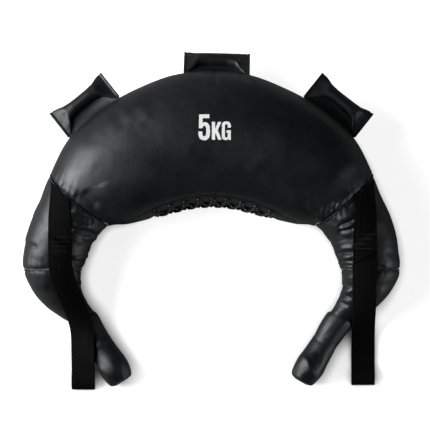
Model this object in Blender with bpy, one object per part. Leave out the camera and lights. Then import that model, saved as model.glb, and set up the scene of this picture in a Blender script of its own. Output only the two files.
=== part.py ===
"""A 5 kg crescent training bag, lying on its back.

Metres, +Z up. The bag's outer rim arches towards +Y, and its two horns and its straps point towards -Y.
The origin is at the bottom centre of the whole object's box. The crescent is a loft: its stations are numbered
from 0, the middle of the arch, to NECK, and a negative number is the same station on the left.
"""

import math

import bmesh
import bpy
from mathutils import Matrix, Vector
from mathutils.bvhtree import BVHTree

# Overall sizes of the crescent
HALF_WIDTH = 0.260
RISE = 0.206
DROP = 0.143
CENTRE_DEPTH = 0.1845
BAG_HEIGHT = 0.130
LEATHER = 0.0022
SEAT_GAP = 0.0004

# The loft's shape, in shares of the sizes above
RIM_SHARE = 0.47
BELLY_SHARE = 1.07
UPPER_POWER = 2.25
LOWER_POWER = 2.7

# Steps of the centre panels along the bag, and of the flaps
PANEL_STEPS = 20
FLAP_STEPS = 18

# One row for each station: outer rim x and y, the turn of its section in degrees, its depth and its height
STATION_SHARES = (
    (0.000, 1.000, -90.0, 1.000, 1.000),
    (0.192, 0.976, -98.8, 0.993, 1.000),
    (0.365, 0.898, -106.4, 0.958, 0.990),
    (0.538, 0.784, -115.3, 0.912, 0.975),
    (0.685, 0.641, -123.5, 0.845, 0.940),
    (0.773, 0.515, -127.5, 0.748, 0.885),
    (0.852, 0.316, -138.6, 0.582, 0.800),
    (0.900, 0.165, -146.1, 0.515, 0.760),
    (0.954, 0.000, -157.7, 0.486, 0.725),
    (0.988, -0.252, -170.6, 0.467, 0.690),
    (0.997, -0.469, -180.0, 0.438, 0.640),
    (0.952, -0.671, -186.8, 0.366, 0.555),
    (0.885, -0.818, -195.8, 0.298, 0.450),
    (0.808, -0.923, -200.3, 0.234, 0.350),
    (0.735, -1.000, -202.9, 0.188, 0.285),
)
DIAGONAL = 6
ELBOW = 10
NECK = 14
DIAGONAL_BOW = 0.26

# Seams between the covers
WELT_RADIUS = 0.0011
WELT_SINK = 0.0008
WELT_SIDES = 5

# Filling and sand pouches
FILLING_GAP = 0.0009
FILLING_STEP = 0.6
FILLING_SPLIT = 0.03
POUCH_SHARE = 0.42
POUCH_GAP = 0.0006

# Laced closure on the inner rim
LACED_HALF = 3.55
LACE_TURNS = 9
LACE_RADIUS = 0.0018
LACE_CLEARANCE = 0.0009
FLAP_END = 5.3
FLAP_MARGIN = 0.8
FLAP_WIDTH = 0.044
FLAP_END_WIDTH = 0.014
SLIT_HALF = 0.004
LACE_REACH = 0.028
TONGUE_HALF = 0.0305
POCKET_SPARE = 0.0022
# Where in each turn the lace goes through the front flap and through the back one
THROUGH_FRONT_SHARE = 12 / 14
THROUGH_BACK_SHARE = 5 / 14
# Stations that the tongue runs on past the lacing at each end
TONGUE_STATIONS = 0.4

# Horns: each turns about a pivot just past the neck, and its root is a ball round that pivot
HORN_LENGTH = 0.092
HORN_RADIUS = 0.0178
HORN_TURN = math.radians(-121.0)
PIVOT_REACH = 0.008
BALL_RADIUS = 0.0158
BALL_BACK = math.radians(138.0)
# Places along a horn as shares of its length, with the share of its radius that each one has
HORN_SHARES = ((0.14, 0.96), (0.32, 0.99), (0.52, 1.05), (0.72, 1.16), (0.87, 1.10), (0.96, 0.86), (1.00, 0.44))

# Straps
STRAP_WIDTH = 0.0325
WEBBING = 0.0021
STRAP_GAP = 0.0009
STRAP_PROBE = 0.004
LOOP_GAP = 0.0009
LOOP_EYE = 0.0095
LOOP_EYE_LENGTH = 0.030
LOOP_EYE_OPENING_SHARE = 0.6
LOOP_EYE_CLOSING_SHARE = 0.3
ANCHOR_LENGTH = 0.094
ANCHOR_DOUBLED = 0.030
FOLD_GAP = 0.0005
STEEPEST_DROP = 1.8
STEEPEST_BANK = 0.75
ROOT_WIDTH_SHARE = 0.78
ROOT_SPREAD = 0.055
STRAP_BEND_FROM_Y = -0.055
STRAP_BEND_TO_Y = -0.160
RIGHT_STRAP = {"root_x": 0.2090, "end_x": 0.2100, "end_y": -0.2265}
LEFT_STRAP = {"root_x": -0.2065, "end_x": -0.1780, "end_y": -0.2328}

# Rim grips: a roll in the middle, flattened to a tab at each end, and each tab sewn at the rim
GRIP_HALF = 0.0455
GRIP_REACH = 0.0426
GRIP_WAIST = 0.0055
ROLL_DEPTH = 0.019
ROLL_HEIGHT = 0.0205
TAB_THICKNESS = 0.0058
TAB_INNER = -0.0005
GRIP_ATTACH = 0.040
GRIP_SEAT = 0.0006
SIDE_GRIP_STATION = 3.66
CENTRE_GRIP_STATION = 0.14
SIDE_GRIP_DROOP = math.radians(14.0)
CENTRE_GRIP_DROOP = math.radians(47.5)
# Places along a grip as shares of its half length, with the share of the roll's form that each one has
GRIP_SHARES = ((-1.0, 0.0), (-0.86, 0.0), (-0.72, 0.28), (-0.56, 0.82), (-0.30, 1.0), (0.0, 1.0))

BLACK_LEATHER = ((0.012, 0.012, 0.014, 1.0), 0.42)
BLACK_WEBBING = ((0.006, 0.006, 0.007, 1.0), 0.85)
BLACK_CORD = ((0.008, 0.008, 0.009, 1.0), 0.70)
FIBRE = ((0.45, 0.43, 0.40, 1.0), 0.95)
SAND_CLOTH = ((0.32, 0.27, 0.20, 1.0), 0.90)
FOAM = ((0.20, 0.20, 0.21, 1.0), 0.95)
HARDWOOD = ((0.42, 0.27, 0.15, 1.0), 0.60)


def clear_scene():
    for item in list(bpy.data.objects):
        bpy.data.objects.remove(item, do_unlink=True)


def blended(before, start, end, after, share):
    """One value of the smooth curve through four even steps."""
    slope_in = (end - before) / 2
    slope_out = (after - start) / 2
    rise = end - start
    return (
        start
        + slope_in * share
        + (3 * rise - 2 * slope_in - slope_out) * share**2
        + (slope_in + slope_out - 2 * rise) * share**3
    )


def smooth_step(value):
    value = min(max(value, 0.0), 1.0)
    return value * value * (3 - 2 * value)


def station_row(number):
    """A row of the table, mirrored below 0 and carried on in a straight line past the neck."""
    if number < 0:
        x, y, turn, depth, height = station_row(-number)
        return (-x, y, -180.0 - turn, depth, height)
    if number > NECK:
        last = STATION_SHARES[NECK]
        before = STATION_SHARES[NECK - 1]
        return tuple(2 * a - b for a, b in zip(last, before))
    return STATION_SHARES[number]


def section(station):
    """The middle of the section at a station, its direction from outer to inner rim, its depth and its height."""
    side = -1 if station < 0 else 1
    station = abs(station)
    first = min(int(station), NECK - 1)
    rows = [station_row(first + step) for step in (-1, 0, 1, 2)]
    x, y, turn, depth, height = (blended(*column, station - first) for column in zip(*rows))
    inward = Vector((math.cos(math.radians(turn)), math.sin(math.radians(turn)), 0))
    outer = Vector((x * HALF_WIDTH, y * (RISE if y > 0 else DROP), 0))
    middle = outer + inward * (depth * CENTRE_DEPTH / 2)
    middle.x *= side
    inward.x *= side
    return middle, inward, depth * CENTRE_DEPTH, height * BAG_HEIGHT


def bag_point(station, angle, inset=0.0):
    """A point of the crescent. The angle goes round the section: 0 is the outer rim, 90 degrees the top."""
    middle, inward, depth, height = section(station)
    rim_z = height * RIM_SHARE
    side = math.cos(angle)
    rise = math.sin(angle)
    if rise >= 0:
        half_height = height - rim_z - inset
        power = UPPER_POWER
    else:
        half_height = rim_z * BELLY_SHARE - inset
        power = LOWER_POWER
    half_depth = depth / 2 - inset
    radius = (abs(side / half_depth) ** power + abs(rise / half_height) ** power) ** (-1 / power)
    point = middle - inward * (radius * side)
    point.z = max(rim_z + radius * rise, inset)
    return point


def station_after(station, angle, distance):
    """The station that lies a distance further along the bag than another one, at this angle of the section."""
    step = 0.05
    speed = (bag_point(station + step, angle) - bag_point(station - step, angle)).length / (2 * step)
    return station + distance / speed


def angle_of(station, distance):
    """The angle that a distance makes along the skin at a rim."""
    return distance / (section(station)[2] / 2)


def diagonal_station(side, angle):
    return side * (DIAGONAL + DIAGONAL_BOW * abs(math.sin(angle)))


def material(name, finish):
    made = bpy.data.materials.new(name)
    made.use_nodes = True
    colour, roughness = finish
    shader = made.node_tree.nodes["Principled BSDF"]
    shader.inputs["Base Color"].default_value = colour
    shader.inputs["Roughness"].default_value = roughness
    made.diffuse_color = colour
    return made


def add_object(name, mesh_data, finish, pivot=None):
    """Links a mesh as a named object, with its origin on its pivot where it has one."""
    placed = bpy.data.objects.new(name, mesh_data)
    bpy.context.scene.collection.objects.link(placed)
    if pivot is not None:
        placed.data.transform(Matrix.Translation(-pivot))
        placed.location = pivot
    if not placed.data.materials:
        placed.data.materials.append(material(name, finish))
    return placed


def mesh_from(name, points, faces):
    built = bmesh.new()
    corners = [built.verts.new(point) for point in points]
    for face in faces:
        built.faces.new([corners[index] for index in face])
    bmesh.ops.recalc_face_normals(built, faces=built.faces)
    mesh_data = bpy.data.meshes.new(name)
    built.to_mesh(mesh_data)
    built.free()
    mesh_data.shade_smooth()
    mesh_data.set_sharp_from_angle(angle=math.radians(40))
    return mesh_data


def grid_faces(rows, columns, first, around):
    """The four-sided faces of a grid of points, which closes on itself where it goes around."""
    faces = []
    for row in range(rows - 1):
        for column in range(columns if around else columns - 1):
            after = (column + 1) % columns
            low = first + row * columns
            high = low + columns
            faces.append((low + column, low + after, high + after, high + column))
    return faces


def shell(name, outside, inside, around):
    """A closed body between two grids of points: a tube with open ends where they go around, or else a patch."""
    rows = len(outside)
    columns = len(outside[0])
    points = [point for row in outside + inside for point in row]
    inner = rows * columns
    faces = grid_faces(rows, columns, 0, around) + grid_faces(rows, columns, inner, around)
    for column in range(columns if around else columns - 1):
        after = (column + 1) % columns
        for start in (0, (rows - 1) * columns):
            faces.append((start + column, start + after, inner + start + after, inner + start + column))
    if not around:
        for row in range(rows - 1):
            for side in (0, columns - 1):
                low = row * columns + side
                high = low + columns
                faces.append((low, high, inner + high, inner + low))
    return mesh_from(name, points, faces)


def loft(name, rings):
    """A solid through a row of rings, closed at both ends."""
    rows = len(rings)
    columns = len(rings[0])
    points = [point for ring in rings for point in ring]
    faces = grid_faces(rows, columns, 0, True)
    faces.append(tuple(range(columns)))
    faces.append(tuple(range((rows - 1) * columns, rows * columns)))
    return mesh_from(name, points, faces)


def tube(name, route, radius, sides, closed):
    """A round bar along a route, one ring for each of its points."""
    rings = []
    count = len(route)
    for index, point in enumerate(route):
        if closed:
            forward = (route[(index + 1) % count] - route[index - 1]).normalized()
        else:
            forward = (route[min(index + 1, count - 1)] - route[max(index - 1, 0)]).normalized()
        level = forward.cross(Vector((0, 0, 1)))
        if level.length < 0.2:
            level = forward.cross(Vector((1, 0, 0)))
        level.normalize()
        upright = level.cross(forward)
        turns = [2 * math.pi * step / sides for step in range(sides)]
        rings.append([point + radius * (level * math.cos(turn) + upright * math.sin(turn)) for turn in turns])
    if not closed:
        return loft(name, rings)
    faces = grid_faces(count, sides, 0, True)
    for side in range(sides):
        after = (side + 1) % sides
        last = (count - 1) * sides
        faces.append((last + side, last + after, after, side))
    return mesh_from(name, [point for ring in rings for point in ring], faces)


def covered(first, last, columns, steps, inset):
    """Points over the bag. first and last give an angle's end stations, and columns a station's angles."""
    grid = []
    for step in range(steps + 1):
        share = step / steps
        guess = first(0.0) * (1 - share) + last(0.0) * share
        row = []
        for angle in columns(guess):
            station = first(angle) * (1 - share) + last(angle) * share
            row.append(bag_point(station, angle, inset))
        grid.append(row)
    return grid


def seam_edge(seam, towards):
    """The edge of a cover that stops short of a seam's welt, on the side of the seam that towards gives."""
    reach = WELT_RADIUS + SEAT_GAP
    return lambda angle: station_after(seam(angle), angle, towards * reach)


def flap_spread(station):
    """The width of each lacing flap at a station, over the skin from the inner rim."""
    share = min(abs(station) / FLAP_END, 1.0)
    return FLAP_WIDTH + (FLAP_END_WIDTH - FLAP_WIDTH) * share**4


def panel_angles(station, half, count):
    """The angles of a centre panel: from the rim welt round to the flap, over the top (1) or underneath (-1)."""
    start = angle_of(station, WELT_RADIUS + SEAT_GAP)
    end = math.pi - angle_of(station, flap_spread(station) + SEAT_GAP)
    return [half * (start + (end - start) * step / count) for step in range(count + 1)]


def flap_angles(station, half, count):
    start = math.pi - angle_of(station, flap_spread(station))
    end = math.pi - angle_of(station, SLIT_HALF)
    return [half * (start + (end - start) * step / count) for step in range(count + 1)]


def left_diagonal(angle):
    return diagonal_station(-1, angle)


def right_diagonal(angle):
    return diagonal_station(1, angle)


def build_centre_panels():
    first = seam_edge(left_diagonal, 1)
    last = seam_edge(right_diagonal, -1)
    for name, half in (("centre_front_panel", 1), ("centre_back_panel", -1)):

        def columns(station, half=half):
            return panel_angles(station, half, 10)

        outside = covered(first, last, columns, PANEL_STEPS, 0.0)
        inside = covered(first, last, columns, PANEL_STEPS, LEATHER)
        add_object(name, shell(name, outside, inside, False), BLACK_LEATHER)


def build_rim_welt():
    start = seam_edge(left_diagonal, 1)(0.0)
    end = seam_edge(right_diagonal, -1)(0.0)
    count = 30
    route = [bag_point(start + (end - start) * step / count, 0.0, WELT_SINK) for step in range(count + 1)]
    add_object("outer_rim_welt", tube("outer_rim_welt", route, WELT_RADIUS, WELT_SIDES, False), BLACK_LEATHER)


def ring_welt(name, seam, count):
    """A seam cord that goes once round the bag."""
    turns = [2 * math.pi * step / count for step in range(count)]
    route = [bag_point(seam(turn), turn, WELT_SINK) for turn in turns]
    for point in route:
        point.z = max(point.z, WELT_RADIUS)
    add_object(name, tube(name, route, WELT_RADIUS, WELT_SIDES, True), BLACK_LEATHER)


def build_arms():
    count = 16
    turns = [2 * math.pi * step / count for step in range(count)]
    for side, hand in ((-1, "left"), (1, "right")):

        def diagonal(angle, side=side):
            return diagonal_station(side, angle)

        def elbow(angle, side=side):
            return side * ELBOW

        def neck(angle, side=side):
            return side * NECK

        ring_welt(hand + "_diagonal_seam_welt", diagonal, 24)
        ring_welt(hand + "_elbow_seam_welt", elbow, 20)
        pieces = (
            (hand + "_upper_arm_cover", seam_edge(diagonal, side), seam_edge(elbow, -side), 7),
            (hand + "_lower_arm_cover", seam_edge(elbow, side), neck, 8),
        )
        for name, first, last, steps in pieces:
            outside = covered(first, last, lambda station: turns, steps, 0.0)
            inside = covered(first, last, lambda station: turns, steps, LEATHER)
            add_object(name, shell(name, outside, inside, True), BLACK_LEATHER)


def filling_inset(station, angle):
    """How deep the filling's skin lies. It makes room for the lace's inner runs and the tongue at the inner rim."""
    pocket = 2 * LACE_RADIUS + 2 * LACE_CLEARANCE + LEATHER + POCKET_SPARE
    across = abs(math.remainder(angle - math.pi, 2 * math.pi))
    edge = angle_of(station, pocket_spread(station))
    seam = angle_of(station, flap_spread(station))
    near_rim = 1 - smooth_step((across - edge) / (seam - edge))
    near_lace = 1 - smooth_step(abs(station) - LACED_HALF - FLAP_MARGIN)
    return LEATHER + FILLING_GAP + pocket * near_rim * near_lace


def pocket_spread(station):
    """Half the width of the hollow behind the lacing, over the skin from the inner rim."""
    return min(TONGUE_HALF + FILLING_GAP, flap_spread(station) - SLIT_HALF / 2)


def centre_filling_angles(station):
    """Every second angle of both centre panels, and the inner rim with the edges of its hollow."""
    edge = angle_of(station, pocket_spread(station))
    rim = [math.pi - edge, math.pi, math.pi + edge]
    return panel_angles(station, 1, 5) + rim + panel_angles(station, -1, 5)[::-1]


def arm_filling_angles(station):
    return [2 * math.pi * step / 8 for step in range(8)]


def bore_inset(station):
    depth, height = section(station)[2:]
    return (1 - POUCH_SHARE) * min(depth / 2, height * RIM_SHARE)


def filled(name, first, last, angles, pouch):
    """A filling with a bore for its sand pouch, and the pouch in the bore."""
    steps = round(abs(last - first) / FILLING_STEP)
    stations = [first + (last - first) * step / steps for step in range(steps + 1)]
    outside = [[bag_point(at, turn, filling_inset(at, turn)) for turn in angles(at)] for at in stations]
    bore = [[bag_point(at, turn, bore_inset(at)) for turn in angles(at)] for at in stations]
    add_object(name, shell(name, outside, bore, True), FIBRE)
    rings = [[bag_point(at, turn, bore_inset(at) + POUCH_GAP) for turn in angles(at)] for at in stations]
    add_object(pouch, loft(pouch, rings[1:-1]), SAND_CLOTH)


def build_fillings():
    filled("centre_filling", -DIAGONAL, DIAGONAL, centre_filling_angles, "centre_sand_pouch")
    for side, hand in ((-1, "left"), (1, "right")):
        first = side * (DIAGONAL + DIAGONAL_BOW + FILLING_SPLIT)
        last = side * (NECK - FILLING_STEP)
        filled(hand + "_arm_filling", first, last, arm_filling_angles, hand + "_sand_pouch")


def lace_side(station, reach, lift):
    """A point of the lace: reach is its distance over the skin from the inner rim, lift its height off the skin."""
    return bag_point(station, math.pi - angle_of(station, reach), -lift)


def lace_route():
    """The lace's route, turn by turn: down outside both flaps, in through the back one, and up behind them."""
    lift = LACE_RADIUS + LACE_CLEARANCE + LEATHER / 2
    bend = lift
    run = LACE_REACH - bend
    pitch = 2 * LACED_HALF / LACE_TURNS
    bends = (math.radians(50), math.radians(90), math.radians(130))
    along_run = (1.0, 0.33, -0.33, -1.0)
    turn = [(share * run, lift) for share in along_run]
    turn += [(-run - bend * math.sin(angle), lift * math.cos(angle)) for angle in bends]
    turn += [(-share * run, -lift) for share in along_run]
    turn += [(run + bend * math.sin(angle), -lift * math.cos(angle)) for angle in bends]
    route = []
    for index in range(LACE_TURNS * len(turn)):
        reach, out = turn[index % len(turn)]
        station = -LACED_HALF + pitch * index / len(turn)
        route.append(lace_side(station, reach, out - LEATHER / 2))
    return route


def lace_holes(half):
    """The places and directions of one flap's eyelet holes, on the front flap (1) or the back one (-1)."""
    pitch = 2 * LACED_HALF / LACE_TURNS
    through = THROUGH_FRONT_SHARE if half > 0 else THROUGH_BACK_SHARE
    for number in range(LACE_TURNS):
        station = -LACED_HALF + pitch * (number + through)
        outer = lace_side(station, half * LACE_REACH, LEATHER)
        inner = lace_side(station, half * LACE_REACH, -2 * LEATHER)
        yield (outer + inner) / 2, (outer - inner).normalized(), (outer - inner).length


def hole_cutter(name, half):
    """One helper with a bar for each eyelet hole."""
    built = bmesh.new()
    for place, forward, length in lace_holes(half):
        turned = forward.to_track_quat("Z", "Y").to_matrix().to_4x4()
        bmesh.ops.create_cone(
            built,
            cap_ends=True,
            segments=7,
            radius1=LACE_RADIUS + 2 * LACE_CLEARANCE,
            radius2=LACE_RADIUS + 2 * LACE_CLEARANCE,
            depth=length,
            matrix=Matrix.Translation(place) @ turned,
        )
    mesh_data = bpy.data.meshes.new(name)
    built.to_mesh(mesh_data)
    built.free()
    cutter = bpy.data.objects.new(name, mesh_data)
    bpy.context.scene.collection.objects.link(cutter)
    cutter.hide_render = True
    cutter.display_type = "WIRE"
    return cutter


def build_laced_closure():
    def first(angle):
        return -FLAP_END

    def last(angle):
        return FLAP_END

    for name, half in (("lacing_flap_front", 1), ("lacing_flap_back", -1)):

        def columns(station, half=half):
            return flap_angles(station, half, 3)

        outside = covered(first, last, columns, FLAP_STEPS, 0.0)
        inside = covered(first, last, columns, FLAP_STEPS, LEATHER)
        flap = add_object(name, shell(name, outside, inside, False), BLACK_LEATHER)
        cut = flap.modifiers.new("eyelet_holes", "BOOLEAN")
        cut.operation = "DIFFERENCE"
        cut.solver = "EXACT"
        cut.object = hole_cutter(name + "_cutter", half)
    route = lace_route()
    add_object("lace", tube("lace", route, LACE_RADIUS, 5, False), BLACK_CORD)
    depth = LEATHER + 2 * LACE_RADIUS + 3 * LACE_CLEARANCE

    def tongue_angles(station):
        half_angle = angle_of(station, TONGUE_HALF)
        return [math.pi - half_angle + 2 * half_angle * step / 6 for step in range(7)]

    def tongue_first(angle):
        return -LACED_HALF - TONGUE_STATIONS

    def tongue_last(angle):
        return LACED_HALF + TONGUE_STATIONS

    outside = covered(tongue_first, tongue_last, tongue_angles, 14, depth)
    inside = covered(tongue_first, tongue_last, tongue_angles, 14, depth + LEATHER)
    add_object("lacing_tongue", shell("lacing_tongue", outside, inside, False), BLACK_LEATHER)


def cup(name, outside, inside):
    """A closed body like a cup: two rows of rings, each closed at its last ring, joined at the first ones."""
    rows = len(outside)
    columns = len(outside[0])
    points = [point for ring in outside + inside for point in ring]
    inner = rows * columns
    faces = grid_faces(rows, columns, 0, True) + grid_faces(rows, columns, inner, True)
    for start in (0, inner):
        faces.append(tuple(range(start + (rows - 1) * columns, start + rows * columns)))
    for column in range(columns):
        after = (column + 1) % columns
        faces.append((column, after, inner + after, inner + column))
    return mesh_from(name, points, faces)


def horn_frame(side):
    """The pivot of a horn, its direction and the direction across it."""
    middle, _, _, height = section(side * NECK)
    forward = Vector((side * math.cos(HORN_TURN), math.sin(HORN_TURN), 0))
    pivot = middle + forward * PIVOT_REACH
    pivot.z = height / 2
    return pivot, forward, forward.cross(Vector((0, 0, 1)))


def horn_profile(inset):
    """Distance from the pivot and radius, from the back of the ball to the tip of the horn."""
    ball = BALL_RADIUS - inset
    turns = [BALL_BACK, (BALL_BACK + math.pi / 2) / 2, math.pi / 2]
    profile = [(ball * math.cos(turn), ball * math.sin(turn)) for turn in turns]
    length = HORN_LENGTH - inset
    return profile + [(length * along, HORN_RADIUS * wide - inset) for along, wide in HORN_SHARES]


def horn_rings(side, inset, sides):
    pivot, forward, across = horn_frame(side)
    rings = []
    for along, radius in horn_profile(inset):
        place = pivot + forward * along
        place.z = max(pivot.z, radius + inset)
        turns = [2 * math.pi * step / sides for step in range(sides)]
        ring = []
        for turn in turns:
            ring.append(place + across * (radius * math.cos(turn)) + Vector((0, 0, radius * math.sin(turn))))
        rings.append(ring)
    return rings


def build_horns():
    for side, hand in ((-1, "left"), (1, "right")):
        pivot = horn_frame(side)[0]
        cover = cup(hand + "_horn_cover", horn_rings(side, 0.0, 12), horn_rings(side, LEATHER, 12))
        add_object(hand + "_horn_cover", cover, BLACK_LEATHER, pivot)
        core = loft(hand + "_horn_core", horn_rings(side, LEATHER + SEAT_GAP, 12))
        add_object(hand + "_horn_core", core, HARDWOOD, pivot)


def resting_surface():
    """The outer skin of the whole bag, for the straps to lie on."""
    columns = 40
    turns = [2 * math.pi * step / columns for step in range(columns)]
    rows = 8 * NECK + 1
    points = []
    for row in range(rows):
        station = -NECK + 2 * NECK * row / (rows - 1)
        points += [bag_point(station, turn) for turn in turns]
    faces = grid_faces(rows, columns, 0, True)
    for side in (-1, 1):
        rings = horn_rings(side, 0.0, 12)
        faces += grid_faces(len(rings), 12, len(points), True)
        points += [point for ring in rings for point in ring]
    return BVHTree.FromPolygons(points, faces)


def skin_height(surface, x, y):
    heights = [0.0]
    for step in (-STRAP_PROBE, 0, STRAP_PROBE):
        hit = surface.ray_cast(Vector((x, y + step, 2 * BAG_HEIGHT)), Vector((0, 0, -1)))[0]
        if hit:
            heights.append(hit.z + STRAP_GAP)
    return max(heights)


def seam_crossing(side, x):
    """The y at which the diagonal seam crosses a line of constant x."""
    reach = WELT_RADIUS + 2 * SEAT_GAP
    low = math.radians(4)
    high = math.radians(100)
    for _ in range(30):
        angle = (low + high) / 2
        place = bag_point(station_after(diagonal_station(side, angle), angle, side * reach), angle)
        if abs(place.x) > abs(x):
            low = angle
        else:
            high = angle
    return place.y


def strap_rows(side, strap, surface, rows, columns):
    """The strap's underside as rows of points, from its slanted root at the seam to its end."""
    plan = []
    root_half = ROOT_WIDTH_SHARE * STRAP_WIDTH / 2
    crossings = [seam_crossing(side, strap["root_x"] + edge * root_half) for edge in (-1, 1)]
    for row in range(rows + 1):
        share = row / rows
        line = []
        for column in range(columns + 1):
            across = column / columns
            root_y = crossings[0] * (1 - across) + crossings[1] * across
            y = root_y * (1 - share) + strap["end_y"] * share
            bend = smooth_step((STRAP_BEND_FROM_Y - y) / (STRAP_BEND_FROM_Y - STRAP_BEND_TO_Y))
            spread = smooth_step((root_y - y) / ROOT_SPREAD)
            width = STRAP_WIDTH * (ROOT_WIDTH_SHARE + (1 - ROOT_WIDTH_SHARE) * spread)
            middle_x = strap["root_x"] * (1 - bend) + strap["end_x"] * bend
            line.append((middle_x + width * (across - 0.5), y))
        plan.append(line)
    floor = [[skin_height(surface, x, y) for x, y in line] for line in plan]
    for line, heights in zip(plan, floor):
        step = abs(line[1][0] - line[0][0])
        for order in (range(1, columns + 1), range(columns - 1, -1, -1)):
            for column in order:
                beside = heights[column - 1] if order.step > 0 else heights[column + 1]
                heights[column] = max(heights[column], beside - STEEPEST_BANK * step)
    for row in range(1, rows + 1):
        for column in range(columns + 1):
            fall = STEEPEST_DROP * abs(plan[row][column][1] - plan[row - 1][column][1])
            floor[row][column] = max(floor[row][column], floor[row - 1][column] - fall)
    smoothed = [list(heights) for heights in floor]
    for _ in range(6):
        for row in range(1, rows):
            for column in range(columns + 1):
                mean = (smoothed[row - 1][column] + smoothed[row][column] + smoothed[row + 1][column]) / 3
                smoothed[row][column] = max(floor[row][column], mean)
    return [[Vector((x, y, z)) for (x, y), z in zip(line, heights)] for line, heights in zip(plan, smoothed)]


def lengths_along(rows):
    middle = len(rows[0]) // 2
    lengths = [0.0]
    for before, after in zip(rows, rows[1:]):
        lengths.append(lengths[-1] + (after[middle] - before[middle]).length)
    return lengths


def row_at(rows, lengths, wanted):
    """The row of points at a length along the strap."""
    for index in range(1, len(rows)):
        if lengths[index] >= wanted or index == len(rows) - 1:
            share = (wanted - lengths[index - 1]) / (lengths[index] - lengths[index - 1])
            return [a.lerp(b, share) for a, b in zip(rows[index - 1], rows[index])]
    return rows[-1]


def raised(row, height):
    return [point + Vector((0, 0, height)) for point in row]


def fold_line(row):
    """The hinge line of a webbing edge: its middle and its direction, level with the highest point of the edge."""
    direction = (row[0] - row[-1]).normalized()
    middle = (row[0] + row[-1]) / 2
    upright = direction.cross(Vector((0, 0, 1))).cross(direction)
    return middle + upright * max((point - middle).dot(upright) for point in row), direction


def build_anchor(name, rows, lengths):
    """The short webbing band at the seam. The loop's sewn ends double it near its own end."""
    loop_height = 2 * WEBBING + LOOP_GAP + FOLD_GAP
    doubled_from = ANCHOR_LENGTH - ANCHOR_DOUBLED
    places = [doubled_from * step / 4 for step in range(5)]
    places += [doubled_from + ANCHOR_DOUBLED * step / 3 for step in (1, 2, 3)]
    top = []
    bottom = []
    for place in places:
        row = row_at(rows, lengths, place)
        lift = loop_height * smooth_step((place - doubled_from) / (ANCHOR_DOUBLED / 3))
        top.append(raised(row, lift + WEBBING))
        bottom.append(row)
    pivot = fold_line(bottom[0])[0]
    add_object(name, shell(name, top, bottom, False), BLACK_WEBBING, pivot)


def build_loop(name, rows, lengths):
    """The hand loop: webbing that runs down to its folded end and back under itself."""
    start = ANCHOR_LENGTH + FOLD_GAP
    total = lengths[-1]
    sewn = start + 3 * WEBBING
    count = 15
    places = [start] + [sewn + (total - WEBBING - sewn) * step / count for step in range(count + 1)]
    bottom = []
    slot_bottom = []
    slot_top = []
    top = []
    for place in places:
        row = row_at(rows, lengths, place)
        near_end = smooth_step((place - total + LOOP_EYE_LENGTH) / (LOOP_EYE_OPENING_SHARE * LOOP_EYE_LENGTH))
        closing = smooth_step((total - place) / (LOOP_EYE_CLOSING_SHARE * LOOP_EYE_LENGTH))
        gap = LOOP_GAP + (LOOP_EYE - LOOP_GAP) * near_end * closing
        bottom.append(row)
        slot_bottom.append(raised(row, WEBBING))
        slot_top.append(raised(row, WEBBING + gap))
        top.append(raised(row, 2 * WEBBING + gap))
    last = row_at(rows, lengths, total)
    fold = raised(last, WEBBING + LOOP_GAP / 2)
    slot_bottom[0] = [a.lerp(b, 0.5) for a, b in zip(slot_bottom[0], slot_bottom[1])]
    slot_top[0] = [a.lerp(b, 0.5) for a, b in zip(slot_top[0], slot_top[1])]
    outline = top + [fold] + bottom[::-1]
    inner_fold = [a.lerp(b, 0.5) for a, b in zip(slot_top[-1], slot_bottom[-1])]
    slot = slot_top + [inner_fold] + slot_bottom[::-1]
    outside = list(zip(*outline))
    inside = list(zip(*slot))
    pivot = fold_line(top[0])[0]
    add_object(name, shell(name, outside, inside, True), BLACK_WEBBING, pivot)


def build_straps():
    surface = resting_surface()
    for side, hand, strap in ((-1, "left", LEFT_STRAP), (1, "right", RIGHT_STRAP)):
        rows = strap_rows(side, strap, surface, 48, 4)
        lengths = lengths_along(rows)
        build_anchor(hand + "_strap_anchor", rows, lengths)
        build_loop(hand + "_strap_loop", rows, lengths)


def grip_section(share_roll, inset):
    """Middle, half depth and half height of a grip's section, from a flat tab (0) to the full roll (1)."""
    outer = GRIP_REACH - GRIP_WAIST * share_roll
    depth = (outer - TAB_INNER) * (1 - share_roll) + ROLL_DEPTH * share_roll
    height = TAB_THICKNESS * (1 - share_roll) + ROLL_HEIGHT * share_roll
    return outer - depth / 2, depth / 2 - inset, height / 2 - inset


def grip_rings(frame, places, inset, sides):
    origin, along, outward, upward = frame
    rings = []
    for place, roll in places:
        middle, half_depth, half_height = grip_section(roll, inset)
        start = origin + along * (place * GRIP_HALF)
        turns = [2 * math.pi * step / sides for step in range(sides)]
        ring = []
        for turn in turns:
            reach = middle + half_depth * math.cos(turn)
            ring.append(start + outward * reach + upward * (half_height * math.sin(turn)))
        rings.append(ring)
    return rings


def grip_frame(station, droop):
    """The grip's own axes: its hinge line along the rim, outwards, and up, all turned down by its droop."""
    ends = [bag_point(station_after(station, 0.0, side * GRIP_ATTACH), 0.0) for side in (-1, 1)]
    along = ends[1] - ends[0]
    along.z = 0
    along.normalize()
    level = Vector((-along.y, along.x, 0))
    origin = (ends[0] + ends[1]) / 2 + level * GRIP_SEAT
    outward = level * math.cos(droop) - Vector((0, 0, math.sin(droop)))
    upward = level * math.sin(droop) + Vector((0, 0, math.cos(droop)))
    return origin, along, outward, upward


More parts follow.
